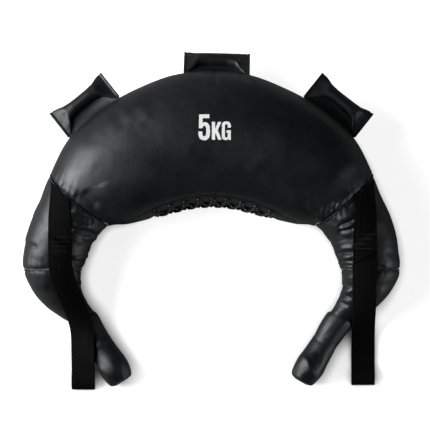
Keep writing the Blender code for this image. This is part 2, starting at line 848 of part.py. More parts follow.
def build_grips():
    places = list(GRIP_SHARES) + [(-place, roll) for place, roll in GRIP_SHARES[-2::-1]]
    grips = (
        ("left", -SIDE_GRIP_STATION, SIDE_GRIP_DROOP),
        ("centre", CENTRE_GRIP_STATION, CENTRE_GRIP_DROOP),
        ("right", SIDE_GRIP_STATION, SIDE_GRIP_DROOP),
    )
    for name, station, droop in grips:
        frame = grip_frame(station, droop)
        outside = grip_rings(frame, places, 0.0, 12)
        inside = grip_rings(frame, places, LEATHER, 12)
        sleeve = shell(name + "_grip_sleeve", outside, inside, True)
        add_object(name + "_grip_sleeve", sleeve, BLACK_LEATHER, frame[0])
        core = loft(name + "_grip_core", grip_rings(frame, places[2:-2], LEATHER + SEAT_GAP, 12))
        add_object(name + "_grip_core", core, FOAM, frame[0])


clear_scene()
build_centre_panels()
build_rim_welt()
build_arms()
build_fillings()
build_laced_closure()
build_horns()
build_straps()
build_grips()
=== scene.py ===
"""The looks of the 5 kg crescent training bag: leather panels with seams, folds and stitches, webbing straps, laced
closure, rim grips, floor, lights and camera. Metres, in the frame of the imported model."""

import math

import bmesh
import bpy
import numpy as np
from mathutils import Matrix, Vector
from mathutils.bvhtree import BVHTree


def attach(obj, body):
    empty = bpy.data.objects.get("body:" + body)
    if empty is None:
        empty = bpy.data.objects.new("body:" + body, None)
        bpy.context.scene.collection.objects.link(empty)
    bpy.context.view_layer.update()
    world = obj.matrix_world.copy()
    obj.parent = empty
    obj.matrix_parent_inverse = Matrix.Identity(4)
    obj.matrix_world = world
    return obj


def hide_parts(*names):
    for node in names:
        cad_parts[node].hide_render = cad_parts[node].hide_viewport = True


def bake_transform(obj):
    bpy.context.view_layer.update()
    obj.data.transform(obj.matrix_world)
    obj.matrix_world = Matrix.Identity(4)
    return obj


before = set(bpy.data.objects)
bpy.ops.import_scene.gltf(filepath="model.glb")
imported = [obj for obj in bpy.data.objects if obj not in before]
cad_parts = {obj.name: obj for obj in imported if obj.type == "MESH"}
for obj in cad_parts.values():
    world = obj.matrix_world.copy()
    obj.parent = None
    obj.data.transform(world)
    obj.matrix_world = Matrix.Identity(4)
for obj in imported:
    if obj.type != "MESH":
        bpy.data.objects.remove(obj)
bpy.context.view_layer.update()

# Sizes of the crescent, as in the part's source
HALF_WIDTH = 0.260
RISE = 0.206
DROP = 0.143
CENTRE_DEPTH = 0.1845
BAG_HEIGHT = 0.130
LEATHER = 0.0022
SEAT_GAP = 0.0004
RIM_SHARE = 0.47
BELLY_SHARE = 1.07
UPPER_POWER = 2.25
LOWER_POWER = 2.7

# For each station: the outer X and Y as shares, the way inwards in degrees, and shares of the depth and height
STATION_SHARES = (
    (0.000, 1.000, -90.0, 1.000, 1.000),
    (0.192, 0.976, -98.8, 0.993, 1.000),
    (0.365, 0.898, -106.4, 0.958, 0.990),
    (0.538, 0.784, -115.3, 0.912, 0.975),
    (0.685, 0.641, -123.5, 0.845, 0.940),
    (0.773, 0.515, -127.5, 0.748, 0.885),
    (0.852, 0.316, -138.6, 0.582, 0.800),
    (0.900, 0.165, -146.1, 0.515, 0.760),
    (0.954, 0.000, -157.7, 0.486, 0.725),
    (0.988, -0.252, -170.6, 0.467, 0.690),
    (0.997, -0.469, -180.0, 0.438, 0.640),
    (0.952, -0.671, -186.8, 0.366, 0.555),
    (0.885, -0.818, -195.8, 0.298, 0.450),
    (0.808, -0.923, -200.3, 0.234, 0.350),
    (0.735, -1.000, -202.9, 0.188, 0.285),
)

# Stations of the seams, and the welts in them
DIAGONAL = 6
DIAGONAL_BOW = 0.26
ELBOW = 10
NECK = 14
WELT_RADIUS = 0.0011
WELT_SINK = 0.0008

# Gathered leather at the necks
NECK_OVERLAP = 0.35
NECK_REACH = 0.024
NECK_LIFT = 0.0006
NECK_OVER_HORN = 0.0004
NECK_HEM = 0.0016
NECK_BOW = 0.0020

# Laced closure: the lace and its eyelets, the flaps and their slit, and the tongue
LACED_HALF = 3.30
LACE_SHIFT = 0.12
LACE_EYELETS = 9
LACE_RADIUS = 0.0017
LACE_CLEARANCE = 0.0006
LACE_APART = 0.0004
LACE_STEP = 0.0008
LACE_REACH = 0.0225
LACE_RISE = 0.0100
EYELET_RIM = 0.0008
EYELET_LIFT = 0.0002
FLAP_END = 5.3
FLAP_WIDTH = 0.044
FLAP_END_WIDTH = 0.014
SLIT_HALF = 0.004
SHUT_SLIT_HALF = 0.0002
DRAWN_IN = 0.0028
DRAWN_REACH = 0.015
TONGUE_HALF = 0.0305
TONGUE_STATIONS = 0.4

# Horns, each with a ball at its pivot. The shares are of the length and of the radius
HORN_LENGTH = 0.092
HORN_RADIUS = 0.0178
HORN_TURN = math.radians(-121.0)
PIVOT_REACH = 0.008
BALL_RADIUS = 0.0158
BALL_BACK = math.radians(138.0)
HORN_SHARES = ((0.14, 0.96), (0.32, 0.99), (0.52, 1.05), (0.72, 1.16), (0.87, 1.10), (0.965, 0.92), (1.00, 0.55))
HORN_TIP_FROM = 0.70
HORN_TIP_FACES = 5
HORN_TIP_FLATNESS = 0.045
HORN_CREASED = 0.045

# Straps, each an anchor sewn into the diagonal seam and a hand loop below its stitched end
STRAP_WIDTH = 0.0325
WEBBING = 0.0021
STRAP_GAP = 0.0009
STRAP_PROBE = 0.004
LOOP_GAP = 0.0009
LOOP_EYE = 0.0095
LOOP_EYE_LENGTH = 0.030
LOOP_EYE_OPENING_SHARE = 0.6
LOOP_EYE_CLOSING_SHARE = 0.3
ANCHOR_LENGTH = 0.094
ANCHOR_DOUBLED = 0.030
FOLD_GAP = 0.0005
STEEPEST_DROP = 1.8
STEEPEST_BANK = 0.75
ROOT_WIDTH_SHARE = 0.78
ROOT_SPREAD = 0.055
STRAP_BEND_FROM_Y = -0.055
STRAP_BEND_TO_Y = -0.160
RIGHT_STRAP = {"root_x": 0.2090, "end_x": 0.2100, "end_y": -0.2265}
LEFT_STRAP = {"root_x": -0.2065, "end_x": -0.1780, "end_y": -0.2328}

# Rim grips, and the dark leather sheet behind each roll, which stands in for the shade in the finger gap
GRIP_HALF = 0.0455
GRIP_REACH = 0.0426
GRIP_WAIST = 0.0055
ROLL_DEPTH = 0.019
ROLL_HEIGHT = 0.0205
TAB_THICKNESS = 0.0058
TAB_INNER = -0.0005
GRIP_ATTACH = 0.040
GRIP_SEAT = 0.0006
GRIP_HEM = 0.0042
GRIP_HEM_EDGE = 0.0016
GRIP_HEM_HALF = 0.0012
SIDE_GRIP_STATION = 3.66
CENTRE_GRIP_STATION = 0.14
SIDE_GRIP_DROOP = math.radians(14.0)
CENTRE_GRIP_DROOP = math.radians(49.0)
SHADE_SHEET_THICKNESS = 0.0012
SHADE_SHEET_BOW = 0.0040
SHADE_SHEET_BOW_SHARE = 0.86
SHADE_SHEET_SAG = 0.0030
SHADE_SHEET_TUCK = 0.0045
SHADE_SHEET_OVERLAP = 0.004

# Places along a grip as shares of its half length, with the share of the roll's form that each one has
GRIP_ROLL = ((0.0, 1.0), (0.30, 1.0), (0.56, 0.82), (0.72, 0.28), (0.86, 0.0), (1.0, 0.0))

# Surfaces: points inside the crescent, and how far the covers dip, turn in under a seam and clear the floor
CRESCENT_MIDDLE = (0.0, 0.11, 0.06)
ARM_MIDDLE_STATION = 9.0
ARM_MIDDLE_HEIGHT = 0.04
LEAST_HEIGHT = -0.0019
HEM_DEPTH = 0.0019
FLOOR_GAP = 0.0002
HORN_FLOOR_GAP = 0.0003
SEAM_DIP = 0.0016
SEAM_DIP_REACH = 0.0035
FLAP_SEAM_DIP = 0.0010

# Drawn folds: how much of their height is used, and the share of each end that fades out
FOLD_STRENGTH = 0.8
STROKE_FADE = 0.25

# Where height along Z turns the drawn folds on: the start and the width of the change
PANEL_TOP = (0.052, 0.014)
ARM_TOP = (0.030, 0.020)
HORN_TOP = (0.018, 0.012)

# Period, depth and reach of the small gathers beside each kind of seam
PUCKERS = {
    "rim": (0.013, 0.0006, 0.012),
    "diagonal": (0.011, 0.0006, 0.011),
    "flap": (0.012, 0.0003, 0.008),
    "arm": (0.011, 0.0006, 0.010),
    "elbow": (0.011, 0.0005, 0.010),
}
PUCKER_START = 0.0015

# First seed of the noise on each piece, to which each side adds its own
SEEDS = {"upper": 80, "lower": 120, "horn": 150, "neck": 170}
SIDE_SEEDS = 10

# Rows and columns of the fine grids
PANEL_ROWS = 520
PANEL_COLUMNS = 190
ARM_COLUMNS = 300
STRAP_ROWS = 49
STRAP_COLUMNS = 5

# Stitches: pitch, length, radius, rise of the bow and dip of its ends, then their rows
STITCH = (0.0042, 0.0031, 0.00032, 0.0006, 0.00035)
SEAM_TO_STITCH = 0.0042
ANCHOR_END_TO_STITCH = 0.003
STITCH_ROW_PITCH = 0.0065
STITCH_MARGIN = 0.0035
FLAP_THREAD_INSET = 0.35
FLAP_STITCH_STATIONS = (-3.58, -3.42, 3.74, 3.94)
RIM_THREAD_STATIONS = (0.5, 4.6)

# Periods and grain of the materials
GRAIN_CELLS = 820.0
WARP_PERIOD = 0.00125
RIB_PERIOD = 0.0017
BRAID_PERIOD = 0.0016
EDGE_TO_GROOVE = 0.0036
GROOVE_HALF = 0.0007

# The weight mark's reach along X and Y, the size of its cells and its height on the leather
MARK_SPAN_X = (-0.020, 0.030)
MARK_SPAN_Y = (0.105, 0.150)
MARK_CELL = 0.0015
MARK_LIFT = 0.00022

# Floor, lights and camera
FLOOR_LIFT = 0.82
FLOOR_SHADE_REACH = 0.022
LIGHT_TARGET = (0.0, 0.0, 0.05)
CAMERA_HEIGHT = 5.0
MIDDLE_HEIGHT = 0.060
SENSOR_MM = 36.0

# The photograph's scale: its width in pixels, metres for each of them, and the pixel that is the origin
PHOTO_PIXELS = 430
PIXEL = 0.001372
ORIGIN_PIXEL = (211.6, 221.2)

UP = np.array([0.0, 0.0, 1.0])


def spot(x, y):
    """The place on the ground plane of a pixel of the photograph."""
    return ((x - ORIGIN_PIXEL[0]) * PIXEL, (ORIGIN_PIXEL[1] - y) * PIXEL)


# Vectors, routes and curves
def unit(vectors):
    return vectors / np.maximum(np.linalg.norm(vectors, axis=-1, keepdims=True), 1e-12)


def turned_to(vectors, ways):
    """The vectors, each turned round where it points against its way."""
    return np.where(np.sum(vectors * ways, -1, keepdims=True) < 0, -vectors, vectors)


def turns_of(count):
    """Angles that divide a full turn evenly."""
    return np.linspace(0, 2 * math.pi, count, endpoint=False)


def run_lengths(route):
    """The length of a route from its start to each of its points."""
    return np.concatenate([[0.0], np.cumsum(np.linalg.norm(np.diff(route, axis=0), axis=-1))])


def along_route(at, lengths, route):
    """Points at these lengths along a route, or the values that go with them."""
    return np.stack([np.interp(at, lengths, route[:, axis]) for axis in range(3)], 1)


def averaged(rows, times):
    """The same rows with their kinks along the length rounded off. The ends stay."""
    for _ in range(times):
        rows[1:-1] = (rows[:-2] + 2 * rows[1:-1] + rows[2:]) / 4
    return rows


def smooth_step(value):
    value = np.clip(value, 0.0, 1.0)
    return value * value * (3 - 2 * value)


def hermite(rows, first, share):
    """Places on a smooth curve through rows, at a share of the way from row first + 1 to the next one."""
    before, start, end, after = (rows[first + step] for step in range(4))
    slope_in = (end - before) / 2
    slope_out = (after - start) / 2
    rise = end - start
    curve = start + slope_in * share + (3 * rise - 2 * slope_in - slope_out) * share**2
    return curve + (slope_in + slope_out - 2 * rise) * share**3


# Shape of the crescent, on arrays of stations and angles
ROWS = np.array(STATION_SHARES)
MIRRORED = np.array([(-ROWS[1, 0], ROWS[1, 1], -180.0 - ROWS[1, 2], ROWS[1, 3], ROWS[1, 4])])
TABLE_ROWS = np.concatenate([MIRRORED, ROWS, 2 * ROWS[-1:] - ROWS[-2:-1]])


def section(station):
    """The middle, inward way, depth and height of the crescent's section at each station."""
    station = np.asarray(station, float)
    side = np.where(station < 0, -1.0, 1.0)
    at = np.abs(station)
    first = np.minimum(at.astype(int), NECK - 1)
    row = hermite(TABLE_ROWS, first, (at - first)[..., None])
    turn = np.radians(row[..., 2])
    inward = np.stack([np.cos(turn), np.sin(turn)], -1)
    outer_y = row[..., 1] * np.where(row[..., 1] > 0, RISE, DROP)
    depth = row[..., 3] * CENTRE_DEPTH
    middle = np.stack([row[..., 0] * HALF_WIDTH, outer_y], -1) + inward * (depth / 2)[..., None]
    middle[..., 0] *= side
    inward[..., 0] *= side
    return middle, inward, depth, row[..., 4] * BAG_HEIGHT


def skin(station, angle, inset=0.0):
    """Points of the crescent, as the part's source has them."""
    station, angle = np.broadcast_arrays(np.asarray(station, float), np.asarray(angle, float))
    middle, inward, depth, height = section(station)
    rim_z = height * RIM_SHARE
    side = np.cos(angle)
    rise = np.sin(angle)
    upper = rise >= 0
    half_height = np.where(upper, height - rim_z, rim_z * BELLY_SHARE) - inset
    power = np.where(upper, UPPER_POWER, LOWER_POWER)
    half_depth = depth / 2 - inset
    radius = (np.abs(side / half_depth) ** power + np.abs(rise / half_height) ** power) ** (-1 / power)
    flat = middle - inward * (radius * side)[..., None]
    z = np.maximum(rim_z + radius * rise, inset)
    return np.concatenate([flat, z[..., None]], -1)


def skin_point(station, angle):
    return Vector(skin(station, angle).tolist())


def angle_of(station, distance):
    """The angle from the rim that this distance along the skin takes up."""
    return distance / (section(station)[2] / 2)


def station_after(station, angle, distance):
    """The station that lies this distance along the crescent from another."""
    step = 0.05
    span = np.linalg.norm(skin(station + step, angle) - skin(station - step, angle), axis=-1)
    return station + distance * 2 * step / span


def seam(side, station, bow=0.0):
    """A seam, as its station at each angle."""
    return lambda angle: side * (station + bow * np.abs(np.sin(angle)))


def diagonal_seam(side):
    return seam(side, DIAGONAL, DIAGONAL_BOW)


def seam_edge(route, towards, reach=WELT_RADIUS + SEAT_GAP):
    """The edge of the cover that meets a seam's welt, on the side that towards names."""
    return lambda angle: station_after(route(angle), angle, towards * reach)


CENTRE_EDGES = (seam_edge(diagonal_seam(-1), 1), seam_edge(diagonal_seam(1), -1))


def flap_spread(station):
    """How far a lacing flap reaches from the inner rim."""
    share = np.minimum(np.abs(station) / FLAP_END, 1.0)
    return FLAP_WIDTH + (FLAP_END_WIDTH - FLAP_WIDTH) * share**4


def eyelet_stations():
    return LACE_SHIFT + LACED_HALF * np.linspace(-1.0, 1.0, LACE_EYELETS)


# Noise that is the same on every run
def hashed(cells, seed):
    mixed = cells[..., 0] * 374761393 + cells[..., 1] * 668265263 + cells[..., 2] * 2147483647 + seed * 1274126177
    mixed = (mixed ^ (mixed >> 13)) * 1274126177
    mixed = mixed ^ (mixed >> 16)
    return (mixed & 0xFFFFF) / float(0xFFFFF)


def noise(points, scale, seed=0):
    """Smooth noise from -1 to 1 with features of this size in metres."""
    where = np.asarray(points) / scale
    low = np.floor(where).astype(np.int64)
    share = smooth_step(where - low)
    total = np.zeros(where.shape[:-1])
    for corner in np.ndindex(2, 2, 2):
        weight = np.prod(np.where(corner, share, 1 - share), -1)
        total += weight * hashed(low + np.array(corner), seed)
    return 2 * total - 1


def rough(points, *layers):
    """Layers of noise, each with its height, the size of its features and its seed."""
    return sum(height * noise(points, scale, seed) for height, scale, seed in layers)


def stroke(points, line, width):
    """How near each point lies to a line drawn over the photograph, from 0 to 1, fading to the line's ends."""
    route = np.array([spot(x, y) for x, y in line])
    lengths = run_lengths(route)
    best = np.full(points.shape[:-1], np.inf)
    along = np.zeros(points.shape[:-1])
    for start, leg, before, after in zip(route, np.diff(route, axis=0), lengths, lengths[1:]):
        offset = points[..., :2] - start
        share = np.clip((offset @ leg) / (after - before) ** 2, 0, 1)
        gap = np.linalg.norm(offset - share[..., None] * leg, axis=-1)
        nearer = gap < best
        best = np.where(nearer, gap, best)
        along = np.where(nearer, (before + share * (after - before)) / lengths[-1], along)
    fade = smooth_step(along / STROKE_FADE) * smooth_step((1 - along) / STROKE_FADE)
    return np.exp(-((best / width) ** 2)) * fade


# Meshes
def scene_object(name, data):
    placed = bpy.data.objects.new(name, data)
    bpy.context.scene.collection.objects.link(placed)
    return placed


def grid_faces(rows, columns, around=False, first=0):
    """A four-sided face for each cell of a grid of points, whose numbers begin at first."""
    index = first + np.arange(rows * columns).reshape(rows, columns)
    if around:
        index = np.concatenate([index, index[:, :1]], 1)
    return np.stack([index[:-1, :-1], index[1:, :-1], index[1:, 1:], index[:-1, 1:]], -1).reshape(-1, 4)


def grid_object(name, points, around=False, uv=None):
    faces = grid_faces(*points.shape[:2], around)
    mesh_data = bpy.data.meshes.new(name)
    mesh_data.from_pydata(points.reshape(-1, 3).tolist(), [], faces.tolist())
    if uv is not None:
        values = uv.reshape(-1, 2)[faces.reshape(-1)]
        mesh_data.uv_layers.new(name="UVMap").data.foreach_set("uv", values.reshape(-1))
    mesh_data.shade_smooth()
    return scene_object(name, mesh_data)


def facing_out(placed, middle):
    """Turns the faces of a mesh round if most of some 400 look towards a point inside."""
    faces = placed.data.polygons
    sample = [faces[number] for number in range(0, len(faces), max(1, len(faces) // 400))]
    if sum((face.center - Vector(middle)).dot(face.normal) for face in sample) < 0:
        placed.data.flip_normals()


def normals_of(points, around=False):
    """Unit normals of a grid of points."""
    if around:
        padded = np.concatenate([points[:, -1:], points, points[:, :1]], 1)
        across = padded[:, 2:] - padded[:, :-2]
    else:
        across = np.gradient(points, axis=1)
    return unit(np.cross(np.gradient(points, axis=0), across))


def edge_distances(points):
    """How far each point of a grid lies from the first and last row, and from the first and last column."""
    steps = np.linalg.norm(np.diff(points, axis=0), axis=-1)
    down = np.concatenate([np.zeros((1, points.shape[1])), np.cumsum(steps, 0)])
    steps = np.linalg.norm(np.diff(points, axis=1), axis=-1)
    across = np.concatenate([np.zeros((points.shape[0], 1)), np.cumsum(steps, 1)], 1)
    return down, down[-1:] - down, across, across[:, -1:] - across


def tube_points(route, radius, sides, closed=False):
    """Rings of points round a route, with a radius for each point of it or one for all."""
    route = np.asarray(route, float)
    if closed:
        forward = np.roll(route, -1, 0) - np.roll(route, 1, 0)
    else:
        forward = np.gradient(route, axis=0)
    forward = unit(forward)
    level = np.cross(forward, UP)
    steep = np.linalg.norm(level, axis=1) < 0.2
    level[steep] = np.cross(forward[steep], np.array([1.0, 0.0, 0.0]))
    level = unit(level)
    upright = np.cross(level, forward)
    turns = turns_of(sides)[None, :, None]
    radius = np.broadcast_to(np.asarray(radius, float), (len(route),))[:, None, None]
    return route[:, None] + radius * (level[:, None] * np.cos(turns) + upright[:, None] * np.sin(turns))


def close_mesh(placed, weld=None, sharp=None):
    """Closes the open ends of a mesh, or joins points nearer than weld, and marks edges sharper than this angle."""
    built = bmesh.new()
    built.from_mesh(placed.data)
    if weld:
        bmesh.ops.remove_doubles(built, verts=built.verts, dist=weld)
    else:
        bmesh.ops.holes_fill(built, edges=built.edges, sides=0)
    bmesh.ops.recalc_face_normals(built, faces=built.faces)
    built.to_mesh(placed.data)
    built.free()
    placed.data.shade_smooth()
    if sharp:
        placed.data.set_sharp_from_angle(angle=math.radians(sharp))


def tube_object(name, route, radius, closed=False):
    """An eight-sided tube with capped ends, or a closed ring."""
    points = tube_points(route, radius, 8, closed)
    if closed:
        points = np.concatenate([points, points[:1]])
    placed = grid_object(name, points, around=True)
    close_mesh(placed, weld=1e-6 if closed else None)
    return placed


# Materials
class Shader:
    """A Principled material that is built up node by node."""

    def __init__(self, name, colour, roughness):
        self.material = bpy.data.materials.new(name)
        self.material.use_nodes = True
        self.tree = self.material.node_tree
        self.shader = self.tree.nodes["Principled BSDF"]
        self.give("Base Color", (*colour, 1.0))
        self.give("Roughness", roughness)
        self.places = self.add("ShaderNodeTexCoord").outputs["Object"]
        self.normal = None

    def feed(self, socket, value):
        """Gives an input a value of its own, or links it to another node's output."""
        if isinstance(value, bpy.types.NodeSocket):
            self.tree.links.new(value, socket)
        else:
            socket.default_value = value

    def give(self, name, value):
        self.feed(self.shader.inputs[name], value)

    def add(self, kind, inputs=(), **settings):
        """A new node with its settings, and with its inputs by name or number."""
        node = self.tree.nodes.new(kind)
        for key, value in settings.items():
            setattr(node, key, value)
        for key, value in dict(inputs).items():
            self.feed(node.inputs[key], value)
        return node

    def noise(self, scale, detail=2.0, rough=0.5, stretch=None):
        places = self.places
        if stretch:
            places = self.add("ShaderNodeMapping", {"Scale": stretch, "Vector": places}).outputs["Vector"]
        inputs = {"Scale": scale, "Detail": detail, "Roughness": rough, "Vector": places}
        return self.add("ShaderNodeTexNoise", inputs).outputs["Fac"]

    def cells(self, scale):
        return self.add("ShaderNodeTexVoronoi", {"Scale": scale, "Vector": self.places}).outputs["Distance"]

    def ramp(self, value, low, high, to_low=0.0, to_high=1.0):
        """A value brought from one range to another and held at its ends."""
        inputs = {"Value": value, "From Min": low, "From Max": high, "To Min": to_low, "To Max": to_high}
        return self.add("ShaderNodeMapRange", inputs).outputs["Result"]

    def calc(self, operation, *values):
        return self.add("ShaderNodeMath", enumerate(values), operation=operation).outputs[0]

    def wave(self, run, period):
        return self.calc("SINE", self.calc("MULTIPLY", run, 2 * math.pi / period))

    def mix(self, share, *colours):
        first, second = ((*colour, 1.0) if isinstance(colour, tuple) else colour for colour in colours)
        return self.add("ShaderNodeMix", {"Factor": share, 6: first, 7: second}, data_type="RGBA").outputs[2]

    def bump(self, height, distance, strength=1.0):
        """Stacks one more layer of relief, with its depth in metres."""
        inputs = {"Strength": strength, "Distance": distance, "Height": height}
        if self.normal is not None:
            inputs["Normal"] = self.normal
        self.normal = self.add("ShaderNodeBump", inputs).outputs["Normal"]
        self.give("Normal", self.normal)

    def along_across(self):
        """Metres along a tape or cord and metres across it, from its UV map."""
        uv = self.add("ShaderNodeUVMap").outputs["UV"]
        return self.add("ShaderNodeSeparateXYZ", {0: uv}).outputs[:2]


def leather_shader(name, dark, light, gloss):
    look = Shader(name, dark, gloss)
    look.give("Specular Tint", (0.93, 0.985, 1.0, 1.0))
    cloudy = look.ramp(look.noise(9.0, 4.0, 0.55), 0.35, 0.68)
    # Faint dust, in small soft flecks
    dust = look.ramp(look.noise(420.0, 2.0, 0.7), 0.70, 0.82)
    dust = look.calc("MULTIPLY", dust, look.ramp(look.noise(22.0, 2.0), 0.48, 0.75, 0.0, 0.35))
    look.give("Base Color", look.mix(dust, look.mix(cloudy, dark, light), (0.045, 0.047, 0.050)))
    look.give("Roughness", look.ramp(look.noise(26.0, 3.0, 0.6), 0.3, 0.72, gloss - 0.05, gloss + 0.09))
    # Pebbled grain with fine pores, over faint creases
    look.bump(look.ramp(look.noise(75.0, 3.0, 0.6), 0.2, 0.8), 0.00035, 0.45)
    look.bump(look.ramp(look.cells(GRAIN_CELLS), 0.0, 0.75), 0.00010, 0.75)
    look.bump(look.noise(2300.0, 1.0), 0.00004, 0.6)
    return look.material


def webbing_shader(name):
    """Woven tape: ribs across its length and fine warp lines along it."""
    look = Shader(name, (0.0020, 0.0020, 0.0023), 0.90)
    along, across = look.along_across()
    warp = look.wave(across, WARP_PERIOD)
    ribs = look.wave(along, RIB_PERIOD)
    weave = look.calc("MULTIPLY", look.calc("ADD", look.calc("MULTIPLY", warp, ribs), 1.0), 0.5)
    rib_height = look.calc("MULTIPLY", look.calc("ADD", ribs, 1.0), 0.5)
    # Painted shade: the weave's colour follows its relief, darker in its hollows and lighter on the raised threads
    thread = look.ramp(weave, 0.0, 1.0, 0.0, 0.55)
    colour = look.mix(thread, (0.0010, 0.0010, 0.0012), (0.0036, 0.0038, 0.0044))
    worn = look.ramp(look.noise(30.0, 3.0, 0.6), 0.40, 0.72, 0.0, 0.30)
    lint = look.calc("MULTIPLY", look.ramp(look.noise(900.0, 1.0, 0.5), 0.66, 0.74), worn)
    look.give("Base Color", look.mix(lint, colour, (0.060, 0.062, 0.066)))
    # A groove beside each woven edge
    from_edge = look.calc("MINIMUM", across, look.calc("SUBTRACT", STRAP_WIDTH, across))
    from_groove = look.calc("ABSOLUTE", look.calc("SUBTRACT", from_edge, EDGE_TO_GROOVE))
    look.bump(look.ramp(from_groove, 0.0, GROOVE_HALF), 0.00035, 1.0)
    look.bump(rib_height, 0.00022, 0.9)
    look.bump(weave, 0.00016, 0.8)
    look.bump(look.noise(160.0, 2.0), 0.0003, 0.35)
    look.give("Specular IOR Level", 0.08)
    return look.material


def cord_shader(name):
    """A braid of two crossing sets of strands."""
    look = Shader(name, (0.0045, 0.0045, 0.0050), 0.62)
    along, across = look.along_across()
    strands = [look.wave(look.calc(lean, along, across), BRAID_PERIOD) for lean in ("ADD", "SUBTRACT")]
    braid = look.calc("MAXIMUM", *strands)
    look.bump(look.ramp(braid, -0.4, 1.0), 0.0002, 0.9)
    # Painted shade: the braid's colour is darker between its strands and lighter on their crests
    look.give("Base Color", look.mix(look.ramp(braid, -0.2, 1.0), (0.003, 0.003, 0.0033), (0.011, 0.011, 0.012)))
    return look.material


def thread_shader(name, colour):
    look = Shader(name, colour, 0.55)
    look.bump(look.noise(2600.0, 1.0, 0.5, (1.0, 1.0, 0.4)), 0.00008, 0.8)
    look.give("Roughness", look.ramp(look.noise(600.0), 0.3, 0.7, 0.45, 0.65))
    return look.material


def cloth_shader(name, dark, light, grain):
    look = Shader(name, dark, 0.92)
    look.give("Base Color", look.mix(look.ramp(look.noise(grain, 3.0), 0.3, 0.7), dark, light))
    look.bump(look.noise(grain * 6, 2.0), 0.0003, 0.7)
    return look.material


def wood_shader(name):
    look = Shader(name, (0.42, 0.27, 0.15), 0.55)
    rings = look.noise(60.0, 4.0, 0.6, (1.0, 0.15, 1.0))
    look.give("Base Color", look.mix(look.ramp(rings, 0.35, 0.65), (0.30, 0.18, 0.09), (0.50, 0.34, 0.20)))
    look.bump(rings, 0.0003, 0.4)
    return look.material


def metal_shader(name):
    look = Shader(name, (0.06, 0.06, 0.065), 0.3)
    look.give("Metallic", 1.0)
    look.give("Roughness", look.ramp(look.noise(300.0), 0.3, 0.7, 0.24, 0.40))
    return look.material


def print_shader(name):
    """White print, worn thin in places, with the leather's grain under it."""
    look = Shader(name, (0.80, 0.80, 0.80), 0.5)
    wear = look.ramp(look.noise(500.0, 2.0, 0.6), 0.28, 0.40)
    look.give("Base Color", look.mix(wear, (0.74, 0.74, 0.74), (0.93, 0.93, 0.93)))
    look.bump(look.cells(GRAIN_CELLS), 0.00008, 0.4)
    return look.material


LEATHER_LOOK = leather_shader("leather", (0.0016, 0.0019, 0.0025), (0.0038, 0.0046, 0.0064), 0.45)
WEBBING_LOOK = webbing_shader("webbing")
CORD_LOOK = cord_shader("cord")
THREAD_LOOK = thread_shader("black_thread", (0.012, 0.012, 0.014))
GREY_THREAD_LOOK = thread_shader("grey_thread", (0.040, 0.042, 0.046))
PRINT_LOOK = print_shader("white_print")
EYELET_LOOK = metal_shader("eyelet_metal")


def dress(piece, look, body, slot, *nodes):
    """Gives a piece its material, the body that it rides on and the solids that it stands for. The slot is not
    used.
    """
    piece.data.materials.clear()
    piece.data.materials.append(look)
    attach(piece, body)
    if nodes:
        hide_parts(*nodes)
    return piece


# Leather covers of the crescent
def cover_grid(first, last, columns, rows, inset=0.0, around=False):
    """Points of a cover between two edges, with the normal, the station and the angle of each."""
    share = np.linspace(0.0, 1.0, rows)
    angles = columns(first(0.0) * (1 - share) + last(0.0) * share)
    stations = first(angles) * (1 - share[:, None]) + last(angles) * share[:, None]
    points = skin(stations, angles, inset)
    middle, _, _, height = section(stations)
    centre = np.concatenate([middle, (height * RIM_SHARE)[..., None]], -1)
    return points, turned_to(normals_of(points, around), points - centre), stations, angles


# Folds seen in the photograph: three pixels of the line, its half width in pixels, and its height in mm
FRONT_FOLDS = (
    (323.8, 204, 322.8, 210, 321.8, 216.5, 2, -2.2), (329.8, 201.5, 328, 209, 325.6, 217, 2.2, 2.2),
    (336.5, 200.5, 333.6, 206.5, 330.6, 212.5, 2.1, -3), (352, 192.5, 341, 200.5, 330.6, 213, 3.2, 2.2),
    (318.4, 208, 318, 215, 317.6, 222, 2.4, 1.5), (306, 196, 305.2, 204, 304.6, 213, 4, -1.6),
    (311, 190, 309.5, 200, 308.5, 212, 5, 1), (296, 188, 293, 199, 291, 210, 4.5, 0.8),
    (84, 190, 91.5, 200, 100.5, 210.5, 5.5, -2.2), (62, 184, 70, 190.5, 79, 197, 5, 1.6),
    (96, 203, 101.5, 209, 107, 216, 3.5, 1.4), (104, 182, 108, 192, 112, 203, 8, 1),
    (246, 176, 258, 164, 268, 150, 7, 0.7), (236, 70.5, 244, 77.5, 251, 84, 2.2, -1.2),
    (244, 72, 251, 77.5, 258, 84.5, 2, 0.9), (252, 74, 258, 79.5, 264, 86, 2.2, -1),
    (200, 68, 206, 78, 210, 90, 3.5, 0.8), (213, 68, 215.5, 76, 217, 88, 2.6, -1.1),
    (110, 108, 118, 118, 128, 130, 7, -1), (132, 96, 142, 108, 150, 124, 7, 0.9),
    (70, 158, 84, 162, 100, 170, 10, 0.6), (330, 128, 320, 140, 312, 156, 9, -1.2),
    (356, 160, 344, 166, 330, 176, 8, 1.2),
)
